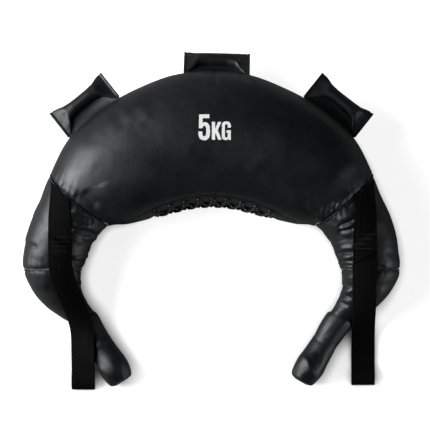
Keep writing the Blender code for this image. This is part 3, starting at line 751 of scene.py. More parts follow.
ARM_FOLDS = {
    ("left", "upper"): (
        (71, 228.5, 84, 233, 98, 235.5, 2.2, -4.2), (72, 223.5, 86, 226.5, 101, 230.5, 3, 2.4),
        (82, 239.5, 91, 238.5, 99, 237.5, 2.6, 2.2), (72, 216.5, 84, 219.5, 98, 222, 4, -2),
        (70, 211.5, 80, 212, 92, 216.5, 2.5, 1.2), (72, 263.5, 80, 261.5, 90, 259, 1.9, -3.6),
        (72, 257.5, 81, 257.2, 91, 255, 2.4, 2.2), (74, 268.5, 81, 266.5, 88, 264.5, 1.7, -3),
        (74, 272, 80, 270.8, 87, 269.5, 1.7, 1.8), (72, 277, 78, 276.6, 85, 276, 1.7, -3),
        (74, 247, 82, 246, 94, 244, 3, -1.4), (23, 243, 30, 245, 40, 248, 2.4, -1.6),
        (22, 238, 32, 239, 44, 243, 4, 1), (33, 212, 40, 220, 46, 232, 5, -1.2),
        (26, 258, 36, 261, 48, 262, 4.5, -0.8),
    ),
    ("right", "upper"): (
        (336, 226.8, 344, 223.6, 354, 219, 1.7, -2.6), (336, 222, 345, 217.5, 354, 213, 3.2, 1.8),
        (336, 232, 345, 230.4, 355, 227.6, 1.8, -2.6), (338, 228.8, 346, 227, 355, 223.6, 1.9, 1.8),
        (337, 241, 345, 239, 354, 238, 3, -1.2), (336, 253.4, 344, 252.6, 355, 252.4, 2, -4.4),
        (338, 249, 346, 247.8, 355, 247.6, 2.6, 2.2), (339, 257.6, 345, 257.4, 353, 256.4, 1.8, 1.6),
        (338, 261.2, 345, 261, 354, 261.2, 1.3, -2.2), (338, 265.4, 346, 265, 354, 265.4, 1.4, -1.8),
        (366, 263, 378, 266, 386, 268.4, 2.2, -2.2), (380, 214, 386, 228, 390, 246, 5, 1),
        (384, 250, 392, 254, 402, 255, 4, -0.9),
    ),
    ("left", "lower"): (
        (76, 283, 81, 281.5, 88, 281, 1.8, -2.6), (77, 290, 83, 289, 90, 289, 1.8, -2.2),
        (78, 296.5, 84, 296, 92, 297, 2, -2.4), (76, 286.5, 82, 285.5, 88, 285, 1.8, 1.4),
        (78, 293.5, 84, 292.8, 90, 293, 1.8, 1.4), (60, 322, 70, 312, 80, 308, 3, -1.6),
        (28, 284, 38, 287, 50, 286, 5, 1.2), (34, 296, 44, 297, 54, 293, 4.5, -1.4),
    ),
    ("right", "lower"): (
        (337, 275, 344, 274, 353, 272, 1.8, -2.2), (337, 283.5, 345, 284.5, 354, 287, 1.9, -2.2),
        (336, 293, 344, 295.5, 353, 299, 2, -2.6), (334, 299.5, 342, 303, 350, 307, 1.8, -2.4),
        (336, 288, 344, 289.5, 353, 292.5, 2, 1.6), (372, 288, 384, 286, 396, 283, 4, -1.2),
        (368, 300, 378, 296, 388, 290, 4, 1),
    ),
    ("left", "horn"): (
        (84, 317.5, 89.5, 315, 95, 312, 2, -2.6), (86, 324, 93, 322, 100, 320, 2.2, 1.4),
        (88, 341, 93, 339, 99, 336, 2, -2), (92, 349, 100, 346, 108, 341, 3, 1),
        (96, 366, 104, 374, 112, 384, 3, 1.2), (112, 356, 118, 366, 120, 378, 3, -1),
    ),
    ("right", "horn"): (
        (336, 299, 343, 303, 351, 308, 1.9, -2.4), (328, 311, 333.6, 315.6, 341, 321, 1.9, -2.2),
        (331, 305, 338, 310, 345, 314, 2.4, 1.2), (312, 336, 322, 342, 332, 346, 3, -1),
        (300, 354, 308, 362, 314, 378, 3, 1.2), (316, 350, 320, 360, 319, 372, 3, -0.9),
    ),
}


def rising(points, change):
    """0 on the lower points and 1 on the upper ones."""
    return smooth_step((points[..., 2] - change[0]) / change[1])


def folded(points, folds, top):
    """The height that the drawn folds give each point. top is 1 where they belong and 0 where they don't."""
    height = np.zeros(points.shape[:-1])
    for *line, width, rise in folds:
        height += rise / 1000 * stroke(points, np.reshape(line, (3, 2)), width * PIXEL)
    return FOLD_STRENGTH * height * top


def puckers(along, away, kind, seed):
    """Small gathers that run away from a seam."""
    period, depth, reach = PUCKERS[kind]
    level = np.zeros_like(along), np.full_like(along, seed)
    phase = along / period + 0.35 * noise(np.stack([along / period, *level], -1), 1.7, seed)
    strength = 0.5 + 0.5 * noise(np.stack([along, *level], -1), 3.1 * period, seed + 7)
    return depth * np.sin(2 * math.pi * phase) * strength * np.exp(-away / reach) * smooth_step(away / PUCKER_START)


def cushioned(away, depth=SEAM_DIP):
    """How far a cover dips towards a seam."""
    return -depth * np.exp(-((away / SEAM_DIP_REACH) ** 1.3))


def hem_in(points, normals, around=False):
    """Adds a row at each end, and unless the grid runs around a column too, that turns in under the seam."""
    for axis in (0,) if around else (0, 1):
        edges = [(np.take(points, [at], axis), np.take(normals, [at], axis)) for at in (0, -1)]
        (first, first_way), (last, last_way) = edges
        points = np.concatenate([first - first_way * HEM_DEPTH, points, last - last_way * HEM_DEPTH], axis)
        normals = np.concatenate([first_way, normals, last_way], axis)
    return points


def cover_object(name, points, normals, height, node, middle, around=False, least=LEAST_HEIGHT):
    """A leather cover raised by a height for each point and hemmed at its seams, with the middle behind it."""
    moved = points + normals * np.maximum(height, least)[..., None]
    moved[..., 2] = np.maximum(moved[..., 2], FLOOR_GAP)
    cover = grid_object(name, hem_in(moved, turned_to(normals_of(moved, around), normals), around), around)
    facing_out(cover, middle)
    return dress(cover, LEATHER_LOOK, "bag", "black_leather", node)


def centre_panel(name, half, node):
    """The front (1) or back (-1) panel, from the rim to its lacing flap."""
    shares = np.linspace(0.0, 1.0, PANEL_COLUMNS)

    def columns(station):
        start = angle_of(station, WELT_RADIUS + SEAT_GAP)[:, None]
        end = (math.pi - angle_of(station, flap_spread(station) + SEAT_GAP))[:, None]
        return half * (start + (end - start) * shares)

    points, normals, _, _ = cover_grid(*CENTRE_EDGES, columns, PANEL_ROWS)
    from_left, from_right, from_rim, from_flap = edge_distances(points)
    height = rough(points, (0.0011, 0.080, 3), (0.0003, 0.031, 5), (0.00014, 0.011, 8))
    height = height * smooth_step(np.minimum(from_rim, np.minimum(from_left, from_right)) / 0.02)
    if half > 0:
        height = height + folded(points, FRONT_FOLDS, rising(points, PANEL_TOP))
    height = height + sum(cushioned(away) for away in (from_rim, from_left, from_right))
    height = height + cushioned(from_flap, FLAP_SEAM_DIP)
    height = height + puckers(from_left, from_rim, "rim", 11)
    for away, seed in ((from_left, 21), (from_right, 23)):
        height = height + puckers(from_rim, away, "diagonal", seed)
    height = height + puckers(from_left, from_flap, "flap", 31)
    return cover_object(name, points, normals, height, node, CRESCENT_MIDDLE)


def seed_of(part, side):
    return SEEDS[part] + SIDE_SEEDS * side


def arm_cover(hand, part, side, first, last, rows):
    """The upper or lower cover of an arm. The lower one ends under the gathers of the neck."""
    seed = seed_of(part, side)
    turns = turns_of(ARM_COLUMNS)
    points, normals, _, angles = cover_grid(
        first, last, lambda station: np.broadcast_to(turns, (rows, ARM_COLUMNS)), rows, around=True
    )
    from_first, from_last, _, _ = edge_distances(points)
    run = np.cumsum(np.linalg.norm(points - np.roll(points, 1, 1), axis=-1), 1)
    inner = smooth_step((1.5 - np.abs(angles - math.pi)) / 0.8)
    height = rough(points, (0.0011, 0.050, seed), (0.0006, 0.023, seed + 1))
    height = height + 0.0011 * inner * noise(points * np.array([0.45, 1.0, 0.45]), 0.0065, seed + 4)
    height = height + folded(points, ARM_FOLDS[hand, part], rising(points, ARM_TOP))
    height = height + cushioned(from_first) + puckers(run, from_first, "arm", seed + 2)
    if part == "upper":
        height = height + cushioned(from_last) + puckers(run, from_last, "elbow", seed + 3)
    middle = (*section(side * ARM_MIDDLE_STATION)[0], ARM_MIDDLE_HEIGHT)
    node = f"{hand}_{part}_arm_cover"
    return cover_object(f"{hand}_{part}_leather", points, normals, height, node, middle, True)


def seam_bead(name, route, node, closed=False):
    """The welt along a seam."""
    dress(tube_object(name, route, WELT_RADIUS * 0.8, closed), LEATHER_LOOK, "bag", "black_leather", node)


def stitches(name, route, normals, look, size, body):
    """A row of thread stitches along a route, each a small bowed rod that dips into the leather at both ends."""
    lengths = run_lengths(route)
    pitch, length, radius, rise, dip = (size * measure for measure in STITCH)
    share = np.linspace(0.0, 1.0, 5)
    bow = np.sin(share * math.pi)
    points = []
    faces = []
    for number in range(int(lengths[-1] / pitch)):
        at = (number + 0.5) * pitch - length / 2 + share * length
        places = along_route(at, lengths, route) + along_route(at, lengths, normals) * (rise * bow - dip)[:, None]
        first = len(points)
        points += tube_points(places, radius * (0.6 + 0.4 * bow), 5).reshape(-1, 3).tolist()
        faces += grid_faces(5, 5, True, first).tolist()
        faces += [list(range(first, first + 5)), list(range(first + 24, first + 19, -1))]
    mesh_data = bpy.data.meshes.new(name)
    mesh_data.from_pydata(points, [], faces)
    mesh_data.shade_smooth()
    dress(scene_object(name, mesh_data), look, body, "black_cord")


SURFACES = {}


def sew(name, piece, line, body="bag", way=None, look=THREAD_LOOK, size=1.0):
    """A row of stitches on a piece's surface, nearest to a line, or where the line falls on it in a direction."""
    if piece.name not in SURFACES:
        mesh_data = piece.data
        corners = [vertex.co for vertex in mesh_data.vertices]
        SURFACES[piece.name] = BVHTree.FromPolygons(corners, [tuple(face.vertices) for face in mesh_data.polygons])
    surface = SURFACES[piece.name]
    if way is None:
        hits = [surface.find_nearest(Vector(point))[:2] for point in line]
    else:
        hits = [surface.ray_cast(Vector(point), Vector(way))[:2] for point in line]
    hits = [hit for hit in hits if hit[0] is not None]
    if len(hits) > 1:
        stitches(name, np.array([hit[0] for hit in hits]), np.array([hit[1] for hit in hits]), look, size, body)


# Horns
def horn_frame(side):
    """The pivot of a horn, its forward way and the way across it."""
    middle, _, _, height = section(side * float(NECK))
    forward = Vector((side * math.cos(HORN_TURN), math.sin(HORN_TURN), 0))
    pivot = Vector((middle[0], middle[1], 0)) + forward * PIVOT_REACH
    pivot.z = float(height) / 2
    return pivot, forward, forward.cross(Vector(UP))


def horn_profile():
    """The horn's radius at distances from its pivot."""
    turns = [BALL_BACK, (BALL_BACK + math.pi / 2) / 2, math.pi / 2]
    profile = [(BALL_RADIUS * math.cos(turn), BALL_RADIUS * math.sin(turn)) for turn in turns]
    return np.array(profile + [(HORN_LENGTH * along, HORN_RADIUS * wide) for along, wide in HORN_SHARES])


def smooth_profile(points, count):
    """A finer version of a profile, on a smooth curve through its points."""
    ends = np.concatenate([2 * points[:1] - points[1:2], points, 2 * points[-1:] - points[-2:-1]])
    places = np.linspace(0, len(points) - 1, count)
    first = np.minimum(places.astype(int), len(points) - 2)
    return hermite(ends, first, (places - first)[:, None])


def horn(hand, side):
    """The leather cover of a horn, gathered at its tip."""
    seed = seed_of("horn", side)
    pivot, forward, across = (np.array(v) for v in horn_frame(side))
    along, radius = smooth_profile(horn_profile(), 170).T
    turns = turns_of(120)
    # The last stretch is pulled to flat faces
    tip = smooth_step((along / HORN_LENGTH - HORN_TIP_FROM) / (1 - HORN_TIP_FROM))[:, None]
    faces = 1 - HORN_TIP_FLATNESS * tip * (0.5 + 0.5 * np.cos(HORN_TIP_FACES * turns[None] + seed)) ** 2
    ring = radius[:, None] * faces
    centre = pivot + along[:, None] * forward
    centre[:, 2] = np.maximum(pivot[2], radius)
    wide = ring * np.cos(turns)
    tall = ring * np.sin(turns)
    points = centre[:, None] + across * wide[..., None] + UP * tall[..., None]
    normals = turned_to(normals_of(points, True), points - centre[:, None])
    # Creases run round the horn near its neck, and lengthwise near its tip
    run = np.broadcast_to(along[:, None], ring.shape)
    height = rough(points, (0.0007, 0.030, seed), (0.0004, 0.012, seed + 1))
    rings = np.stack([run, np.cos(turns) * 0.004 + 0 * run, 0 * run + seed], -1)
    height = height + 0.0011 * smooth_step(1 - run / HORN_CREASED) * noise(rings, 0.006, seed)
    height = height + 0.0008 * tip * noise(np.stack([run * 0.3, wide, tall], -1), 0.007, seed + 3)
    height = height + folded(points, ARM_FOLDS[hand, "horn"], rising(points, HORN_TOP))
    height = height * smooth_step((run - NECK_REACH + 0.002) / 0.010)
    moved = points + normals * height[..., None]
    moved[..., 2] = np.maximum(moved[..., 2], HORN_FLOOR_GAP)
    cover = grid_object(hand + "_horn_leather", moved, around=True)
    close_mesh(cover)
    dress(cover, LEATHER_LOOK, hand + "_horn", "black_leather", hand + "_horn_cover")


# Straps
def resting_surface():
    """The crescent and both horns, as the straps' underside meets them in the part's source."""
    stations = np.linspace(-NECK, NECK, 8 * NECK + 1)
    grids = [skin(stations[:, None], turns_of(40)[None])]
    for side in (-1, 1):
        pivot, forward, across = (np.array(v) for v in horn_frame(side))
        along, radius = horn_profile().T
        place = pivot + along[:, None] * forward
        place[:, 2] = np.maximum(pivot[2], radius)
        turns = turns_of(12)[None, :, None]
        grids.append(place[:, None] + radius[:, None, None] * (across * np.cos(turns) + UP * np.sin(turns)))
    points = []
    faces = []
    for grid in grids:
        faces += grid_faces(*grid.shape[:2], True, len(points)).tolist()
        points += [Vector(point) for point in grid.reshape(-1, 3).tolist()]
    return BVHTree.FromPolygons(points, faces)


def skin_height(surface, x, y):
    """The height at which a strap clears the surface under a place."""
    starts = [Vector((x, y + step, 2 * BAG_HEIGHT)) for step in (-STRAP_PROBE, 0, STRAP_PROBE)]
    hits = [surface.ray_cast(start, -Vector(UP))[0] for start in starts]
    return max([0.0] + [hit.z + STRAP_GAP for hit in hits if hit])


def seam_crossing(side, x):
    """Where the edge beside the diagonal seam crosses a line x, as its y."""
    edge = seam_edge(diagonal_seam(side), side, WELT_RADIUS + 2 * SEAT_GAP)
    low = math.radians(4)
    high = math.radians(100)
    for _ in range(30):
        angle = (low + high) / 2
        place = skin_point(edge(angle), angle)
        if abs(place.x) > abs(x):
            low = angle
        else:
            high = angle
    return place.y


def strap_rows(side, strap, surface):
    """The underside of a strap as rows of points, the same as in the part's source."""
    root_half = ROOT_WIDTH_SHARE * STRAP_WIDTH / 2
    first, last = (seam_crossing(side, strap["root_x"] + edge * root_half) for edge in (-1, 1))
    share = np.linspace(0.0, 1.0, STRAP_ROWS)[:, None]
    across = np.linspace(0.0, 1.0, STRAP_COLUMNS)
    root_y = first * (1 - across) + last * across
    y = root_y * (1 - share) + strap["end_y"] * share
    bend = smooth_step((STRAP_BEND_FROM_Y - y) / (STRAP_BEND_FROM_Y - STRAP_BEND_TO_Y))
    spread = smooth_step((root_y - y) / ROOT_SPREAD)
    width = STRAP_WIDTH * (ROOT_WIDTH_SHARE + (1 - ROOT_WIDTH_SHARE) * spread)
    x = strap["root_x"] * (1 - bend) + strap["end_x"] * bend + width * (across - 0.5)
    floor = np.array([[skin_height(surface, *place) for place in zip(*line)] for line in zip(x, y)])
    bank = STEEPEST_BANK * np.abs(x[:, 1] - x[:, 0])
    for heights in (floor.T, floor.T[::-1]):
        for before, after in zip(heights, heights[1:]):
            after[:] = np.maximum(after, before - bank)
    for row in range(1, STRAP_ROWS):
        fall = STEEPEST_DROP * np.abs(y[row] - y[row - 1])
        floor[row] = np.maximum(floor[row], floor[row - 1] - fall)
    smoothed = floor.copy()
    for _ in range(6):
        for row in range(1, STRAP_ROWS - 1):
            smoothed[row] = np.maximum(floor[row], smoothed[row - 1 : row + 2].mean(0))
    return np.stack([x, y, smoothed], -1)


# Places across a tape, close together at its rounded edges, and how far each face stands off its middle
EDGE_SHARES = np.concatenate([[0.0, 0.004, 0.010, 0.02], np.linspace(0.05, 0.95, 37), [0.98, 0.990, 0.996, 1.0]])
FLATNESS = np.minimum(1.0, np.minimum(EDGE_SHARES, 1 - EDGE_SHARES) / 0.02)
SWELL = np.sqrt(1 - (1 - FLATNESS) ** 2)[:, None] * WEBBING / 2


def tape_grid(rows, lengths, places):
    """Rows of points at these lengths along a strap, with one for each of the edge shares across it."""
    columns = rows.shape[1]
    raw = np.stack([along_route(places, lengths, rows[:, column]) for column in range(columns)], 1)
    at = EDGE_SHARES * (columns - 1)
    first = np.minimum(at.astype(int), columns - 2)
    part = (at - first)[None, :, None]
    return averaged(raw[:, first] * (1 - part) + raw[:, first + 1] * part, 12)


def tape_object(name, top, bottom, lengths, body, node):
    """A tape between an upper and a lower face, which meet along its rounded edges."""
    band = np.concatenate([top, bottom[:, ::-1][:, 1:-1]], 1)
    band[..., 2] = np.maximum(band[..., 2], FLOOR_GAP)
    across = np.concatenate([EDGE_SHARES, EDGE_SHARES[::-1][1:-1]]) * STRAP_WIDTH
    tape = grid_object(name, band, around=True, uv=np.stack(np.broadcast_arrays(lengths[:, None], across), -1))
    close_mesh(tape, sharp=60)
    return dress(tape, WEBBING_LOOK, body, "black_webbing", node)


def strap_anchor(hand, side, rows, lengths):
    """The sewn half of a strap, which thickens over the ends of the loop, with level rows of stitches."""
    places = np.linspace(0.0, ANCHOR_LENGTH, 130)
    grid = tape_grid(rows, lengths, places)
    doubled = smooth_step((places - ANCHOR_LENGTH + ANCHOR_DOUBLED) / (ANCHOR_DOUBLED / 3))
    lift = (2 * WEBBING + LOOP_GAP + FOLD_GAP) * doubled[:, None]
    bulge = lift + 0.00025 * noise(grid * np.array([1.0, 0.4, 0.0]), 0.006, 41 + side)
    middle = grid + UP * (WEBBING / 2)
    top = middle + UP * (SWELL + bulge[..., None])
    body = hand + "_anchor"
    anchor = tape_object(body + "_tape", top, middle - UP * SWELL, places, body, hand + "_strap_anchor")
    lowest = grid[-1, :, 1].max() + ANCHOR_END_TO_STITCH
    for number in range(4):
        y = lowest + number * STITCH_ROW_PITCH
        nearest = grid[np.argmin(np.abs(grid[:, len(EDGE_SHARES) // 2, 1] - y))]
        x = np.linspace(nearest[0, 0] + STITCH_MARGIN, nearest[-1, 0] - STITCH_MARGIN, 40)
        row = np.stack([x, np.full(40, y), np.full(40, 0.2)], 1)
        sew(f"{hand}_row_thread_{number}", anchor, row, body, -UP, GREY_THREAD_LOOK, 0.55)


def strap_loop(hand, side, rows, lengths):
    """The hand loop, as one band that runs down, folds over and comes back underneath."""
    total = lengths[-1]
    places = np.linspace(ANCHOR_LENGTH + FOLD_GAP, total - WEBBING, 300)
    near = smooth_step((places - total + LOOP_EYE_LENGTH) / (LOOP_EYE_OPENING_SHARE * LOOP_EYE_LENGTH))
    closing = smooth_step((total - places) / (LOOP_EYE_CLOSING_SHARE * LOOP_EYE_LENGTH))
    gap = LOOP_GAP + (LOOP_EYE - LOOP_GAP) * near * closing
    under = tape_grid(rows, lengths, places)
    over = under.copy()
    over[..., 2] += (WEBBING + gap)[:, None]
    over[..., 2] += np.maximum(0.00035 * noise(over * np.array([0.5, 1.0, 0.0]), 0.018, 61 + side), -0.0002)
    turns = np.linspace(0, math.pi, 12)[1:-1, None, None]
    middle = (over[-1] + under[-1]) / 2
    drop = (over[-1] - under[-1]) / 2
    fold = middle + drop * np.cos(turns) - np.array([0.0, WEBBING, 0.0]) * np.sin(turns)
    run = np.concatenate([over, fold, under[::-1]])
    up = unit(np.cross(np.gradient(run, axis=1), np.gradient(run, axis=0)))
    up = up * np.sign(up[10, 20, 2])
    run = run + UP * (WEBBING / 2)
    spans = run_lengths(run[:, 20])
    swell = up * SWELL
    tape_object(hand + "_loop_tape", run + swell, run - swell, spans, hand + "_loop", hand + "_strap_loop")


def straps():
    surface = resting_surface()
    for side, hand, strap in ((-1, "left", LEFT_STRAP), (1, "right", RIGHT_STRAP)):
        rows = strap_rows(side, strap, surface)
        lengths = run_lengths(rows[:, STRAP_COLUMNS // 2])
        strap_anchor(hand, side, rows, lengths)
        strap_loop(hand, side, rows, lengths)


# Rim grips
def grip_frame(station, droop):
    """The origin of a grip on the rim, and the ways along, out of and up from it."""
    ends = [skin_point(station_after(station, 0.0, side * GRIP_ATTACH), 0.0) for side in (-1, 1)]
    along = ends[1] - ends[0]
    along.z = 0
    along.normalize()
    level = Vector((-along.y, along.x, 0))
    origin = (ends[0] + ends[1]) / 2 + level * GRIP_SEAT
    out = level * math.cos(droop) - Vector((0, 0, math.sin(droop)))
    up = level * math.sin(droop) + Vector((0, 0, math.cos(droop)))
    return [np.array(v) for v in (origin, along, out, up)]


def grip_section(near, rounds):
    """The roll's share of a grip's form, its outer reach and its depth, at shares of its half length."""
    roll = averaged(np.interp(near, *np.transpose(GRIP_ROLL)), rounds)
    outer = GRIP_REACH - GRIP_WAIST * roll
    return roll, outer, (outer - TAB_INNER) * (1 - roll) + ROLL_DEPTH * roll


def grip_shade_sheet(hand, axes):
    """A thin dark leather sheet from the rim seam to behind a roll, over the finger gap that the solids leave open:
    it stands in for the deep shade in that gap, a painted shade sheet.
    """
    origin, along, out, up = axes
    places = np.linspace(-0.97, 0.97, 90)
    bow = 1 - (places / SHADE_SHEET_BOW_SHARE) ** 2
    inner = np.maximum(TAB_INNER, SHADE_SHEET_BOW * bow) - SHADE_SHEET_TUCK
    _, outer, depth = grip_section(np.abs(places), 0)
    outer = np.maximum(outer - depth + SHADE_SHEET_OVERLAP, inner + SHADE_SHEET_TUCK + SHADE_SHEET_OVERLAP)
    share = np.linspace(0.0, 1.0, 16)
    reach = inner[:, None] * (1 - share) + outer[:, None] * share
    sag = SHADE_SHEET_SAG * np.sin(math.pi * share) * bow[:, None].clip(0, 1)
    span = np.broadcast_to((places * GRIP_HALF)[:, None], reach.shape)
    middle = origin + span[..., None] * along + reach[..., None] * out - sag[..., None] * up
    half = up * (SHADE_SHEET_THICKNESS / 2)
    band = np.concatenate([middle + half, (middle - half)[:, ::-1]], 1)
    sheet = grid_object(hand + "_grip_shade_sheet", band, around=True)
    close_mesh(sheet)
    facing_out(sheet, origin + 0.008 * out)
    sheet.data.set_sharp_from_angle(angle=math.radians(60))
    sheet.data.materials.append(LEATHER_LOOK)
    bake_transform(sheet)


def grip(hand, station, droop, seed):
    """A padded leather roll with a finger gap behind it, pinched flat at both ends, with a hem at each end."""
    origin, along, out, up = axes = grip_frame(station, droop)
    places = np.linspace(-1.0, 1.0, 200)
    near = np.abs(places)
    roll, outer, depth = grip_section(near, 12)
    tall = TAB_THICKNESS * (1 - roll) + ROLL_HEIGHT * roll
    turns = turns_of(130)
    power = 2.0 / (2.0 + 1.4 * (1 - roll))[:, None]
    cosine, sine = (np.sign(wave) * np.abs(wave) ** power for wave in (np.cos(turns), np.sin(turns)))
    reach = (outer - depth / 2)[:, None] + (depth / 2)[:, None] * cosine
    rise = (tall / 2)[:, None] * sine
    span = np.broadcast_to((places * GRIP_HALF)[:, None], reach.shape)
    points = origin + span[..., None] * along + reach[..., None] * out + rise[..., None] * up
    centre = origin + (places * GRIP_HALF)[:, None] * along + (outer - depth / 2)[:, None] * out
    normals = turned_to(normals_of(points, True), points - centre[:, None])
    # Creases fan from the roll to the flattened ends, and a hem runs along each end
    ends = smooth_step((near - 0.42) / 0.25)[:, None]
    fan = noise(np.stack([span * 0.22, reach, rise * 0.6 + seed], -1), 0.0062, seed)
    height = 0.0004 * noise(points, 0.024, seed + 1) + 0.0007 * ends * fan
    from_end = GRIP_HALF * (1 - near)[:, None]
    for rim, place in ((-0.0004, GRIP_HEM), (0.0003, GRIP_HEM_EDGE)):
        height = height + rim * np.exp(-((from_end - place) / GRIP_HEM_HALF) ** 2)
    sleeve = grid_object(hand + "_grip_leather", points + normals * height[..., None], around=True)
    close_mesh(sleeve)
    body = hand + "_grip"
    dress(sleeve, LEATHER_LOOK, body, "black_leather", body + "_sleeve")
    for side in (-1, 1):
        reaches = np.linspace(0.003, GRIP_REACH - 0.004, 40)[:, None]
        line = origin + side * (GRIP_HALF - GRIP_HEM) * along + reaches * out + 0.006 * up
        sew(f"{hand}_grip_leather_hem_thread_{side + 1}", sleeve, line, body, -up)
    # A dark sheet over the finger gap, put there for the gap's shade: painted shade
    grip_shade_sheet(hand, axes)


# Necks
def neck_gather(hand, side):
    """The gathered leather that narrows from the arm cover's end to the horn."""
    seed = seed_of("neck", side)
    pivot, forward, across = (np.array(v) for v in horn_frame(side))
    turns = turns_of(260)
    first = skin(side * (NECK - NECK_OVERLAP), turns, -NECK_LIFT)
    radius = np.interp(NECK_REACH, *horn_profile()[2:].T) + NECK_OVER_HORN
    ring = pivot + forward * NECK_REACH - side * across * (radius * np.cos(turns))[:, None]
    ring = ring + UP * (radius * np.sin(turns))[:, None]
    share = np.linspace(0.0, 1.0, 90)
    ease = (0.35 * share + 0.65 * smooth_step(share))[:, None, None]
    points = first * (1 - ease) + ring * ease
    centre = first.mean(0) * (1 - ease) + ring.mean(0) * ease
    away = unit(points - centre)
    points = points + away * (NECK_BOW * np.sin(share * math.pi) * (1 - share))[:, None, None]
    run = np.broadcast_to(share[:, None], points.shape[:2])
    wheel = np.stack([np.cos(turns) * 0.011, np.sin(turns) * 0.011, 0 * turns + seed], -1)
    gathers = noise(wheel + np.stack([run * 0.004, run * 0.006, 0 * run], -1), 0.0042, seed)
    height = 0.0013 * gathers * (smooth_step(share / 0.25) * (1 - 0.5 * share))[:, None]
    height = height + 0.0007 * noise(points, 0.016, seed + 4)
    height = height * (smooth_step(share / 0.06) * smooth_step((1 - share) / 0.25))[:, None]
    moved = points + away * height[..., None]
    moved[..., 2] = np.maximum(moved[..., 2], HORN_FLOOR_GAP)
    started, turned = (moved[end] - away[end] * NECK_HEM for end in (0, -1))
    cover = grid_object(hand + "_neck_leather", np.concatenate([started[None], moved, turned[None]]), around=True)
    facing_out(cover, centre.mean(axis=(0, 1)))
    cover.data.materials.append(LEATHER_LOOK)
    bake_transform(cover)


# Laced closure
def laced(station, ease, beyond):
    """1 where the lace holds the flaps, and 0 from a number of stations beyond its last eyelets."""
    return smooth_step((LACED_HALF + beyond - np.abs(station - LACE_SHIFT)) / ease)


def drawn_in(station, reach):
    """How far the lace draws the flaps in at a place beside the slit."""
    return DRAWN_IN * laced(station, 0.6, 0.6) * np.exp(-((reach / DRAWN_REACH) ** 2))


def slit_rise(station):
    """The filling sags, so that the slit lies a little way up the front."""
    return LACE_RISE * (1 - 0.5 * (station / FLAP_END) ** 2)


def lace_side(station, reach, lift):
    """A point beside the slit: reach is its distance up the front from it, lift its height off the skin."""
    angle = math.pi - angle_of(station, reach + slit_rise(station))
    return skin(station, angle, drawn_in(station, reach) - lift)


def slit_half(station):
    """Half the width of the slit, which closes beyond the lace."""
    return SHUT_SLIT_HALF + (SLIT_HALF - SHUT_SLIT_HALF) * laced(station, 0.6, 0.9)


def flap(name, half, node):
    """A lacing flap, drawn on to the diagonal seams, where the solids leave the slit's ends open."""
    shares = np.linspace(0.0, 1.0, 60)

    def columns(station):
        start = (math.pi - angle_of(station, flap_spread(station)))[:, None]
        end = (math.pi - angle_of(station, slit_half(station) + half * slit_rise(station)))[:, None]
        return half * (start + (end - start) * shares)

    points, normals, stations, _ = cover_grid(*CENTRE_EDGES, columns, PANEL_ROWS)
    _, _, from_seam, from_slit = edge_distances(points)
    height = 0.0004 * noise(points, 0.016, 70 + half) + cushioned(from_seam, FLAP_SEAM_DIP)
    # The edge is pulled into scallops between the holes
    pitch = 2 * LACED_HALF / (LACE_EYELETS - 1)
    wave = np.cos(2 * math.pi * (stations - LACE_SHIFT + LACED_HALF) / pitch)
    height = height - 0.0010 * laced(stations, 0.5, 0.5) * (0.5 - 0.5 * wave) * np.exp(-from_slit / 0.012)
    height = height + 0.0007 * np.exp(-((from_slit - 0.0030) / 0.0016) ** 2)
    height = height - drawn_in(stations, from_slit + SLIT_HALF)
    return cover_object(name, points, normals, height, node, CRESCENT_MIDDLE, least=-math.inf)


def tongue():
    """The cloth behind the slit, clear of the lace's inner runs."""
    shares = np.linspace(0.0, 1.0, 30)
    depth = LEATHER + 4 * LACE_RADIUS + LACE_APART + 2 * LACE_CLEARANCE

    def columns(station):
        half_angle = angle_of(station, TONGUE_HALF)[:, None]
        rise = angle_of(station, slit_rise(station))[:, None]
        return math.pi - rise - half_angle + 2 * half_angle * shares

    ends = (seam(side, LACED_HALF + TONGUE_STATIONS) for side in (-1, 1))
    points, normals, stations, angles = cover_grid(*ends, columns, 160, depth)
    away = np.abs((math.pi - angles) * section(stations)[2] / 2 - slit_rise(stations))
    points = points - normals * drawn_in(stations, away)[..., None]
    cloth = grid_object("tongue_cloth", hem_in(points, normals))
    facing_out(cloth, CRESCENT_MIDDLE)
    dress(cloth, LEATHER_LOOK, "bag", "black_leather", "lacing_tongue")


def lace_route():
    """The lace's route: leftwards along both flaps, round the last eyelets, and back across itself."""
    near = LACE_RADIUS + LEATHER / 2 + 0.0001
    rise = 1.75 * LACE_RADIUS
    run = LACE_REACH - near
    aside = LACE_RADIUS + LACE_APART / 2
    shares = (-1.0, -0.5, 0.0, 0.5, 1.0)
    bends = [math.radians(angle) for angle in (130, 90, 50)]
    visits = [(station, -1, rise) for station in eyelet_stations()[::-1]]
    visits += [(station, 1, 0.0) for station in eyelet_stations()]
    route = []

    def add(station, shift, reach, out):
        route.append(lace_side(station_after(station, math.pi, shift * aside), reach, out - LEATHER / 2))

    for number, (station, way, lifted) in enumerate(visits):
        for share in shares:
            add(station, way * share, share * run, -near - lifted * (1 - abs(share)))
        if number == len(visits) - 1:
            break
        for angle in bends:
            add(station, way, run + near * math.sin(angle), near * math.cos(angle))
        onward, way_onward, lifted_onward = visits[number + 1]
        for share in shares:
            place = station + (onward - station) * (1 + share) / 2
            shift = way * (1 - share) / 2 - way_onward * (1 + share) / 2
            add(place, shift, -share * run, near + lifted_onward * (1 - abs(share)))
        for angle in bends:
            add(onward, -way_onward, -run - near * math.sin(angle), -near * math.cos(angle))
    return np.array(route)


def lace():
    """The lace with its bends rounded off and its braid wound round it."""
    route = lace_route()
    lengths = run_lengths(route)
    spans = np.linspace(0.0, lengths[-1], int(lengths[-1] / LACE_STEP))
    rings = tube_points(averaged(along_route(spans, lengths, route), 14), LACE_RADIUS, 12)
    across = np.linspace(0, 2 * math.pi * LACE_RADIUS, 12)
    cord = grid_object("lace_cord", rings, True, np.stack(np.broadcast_arrays(spans[:, None], across), -1))
    close_mesh(cord)
    dress(cord, CORD_LOOK, "bag", "black_cord", "lace")


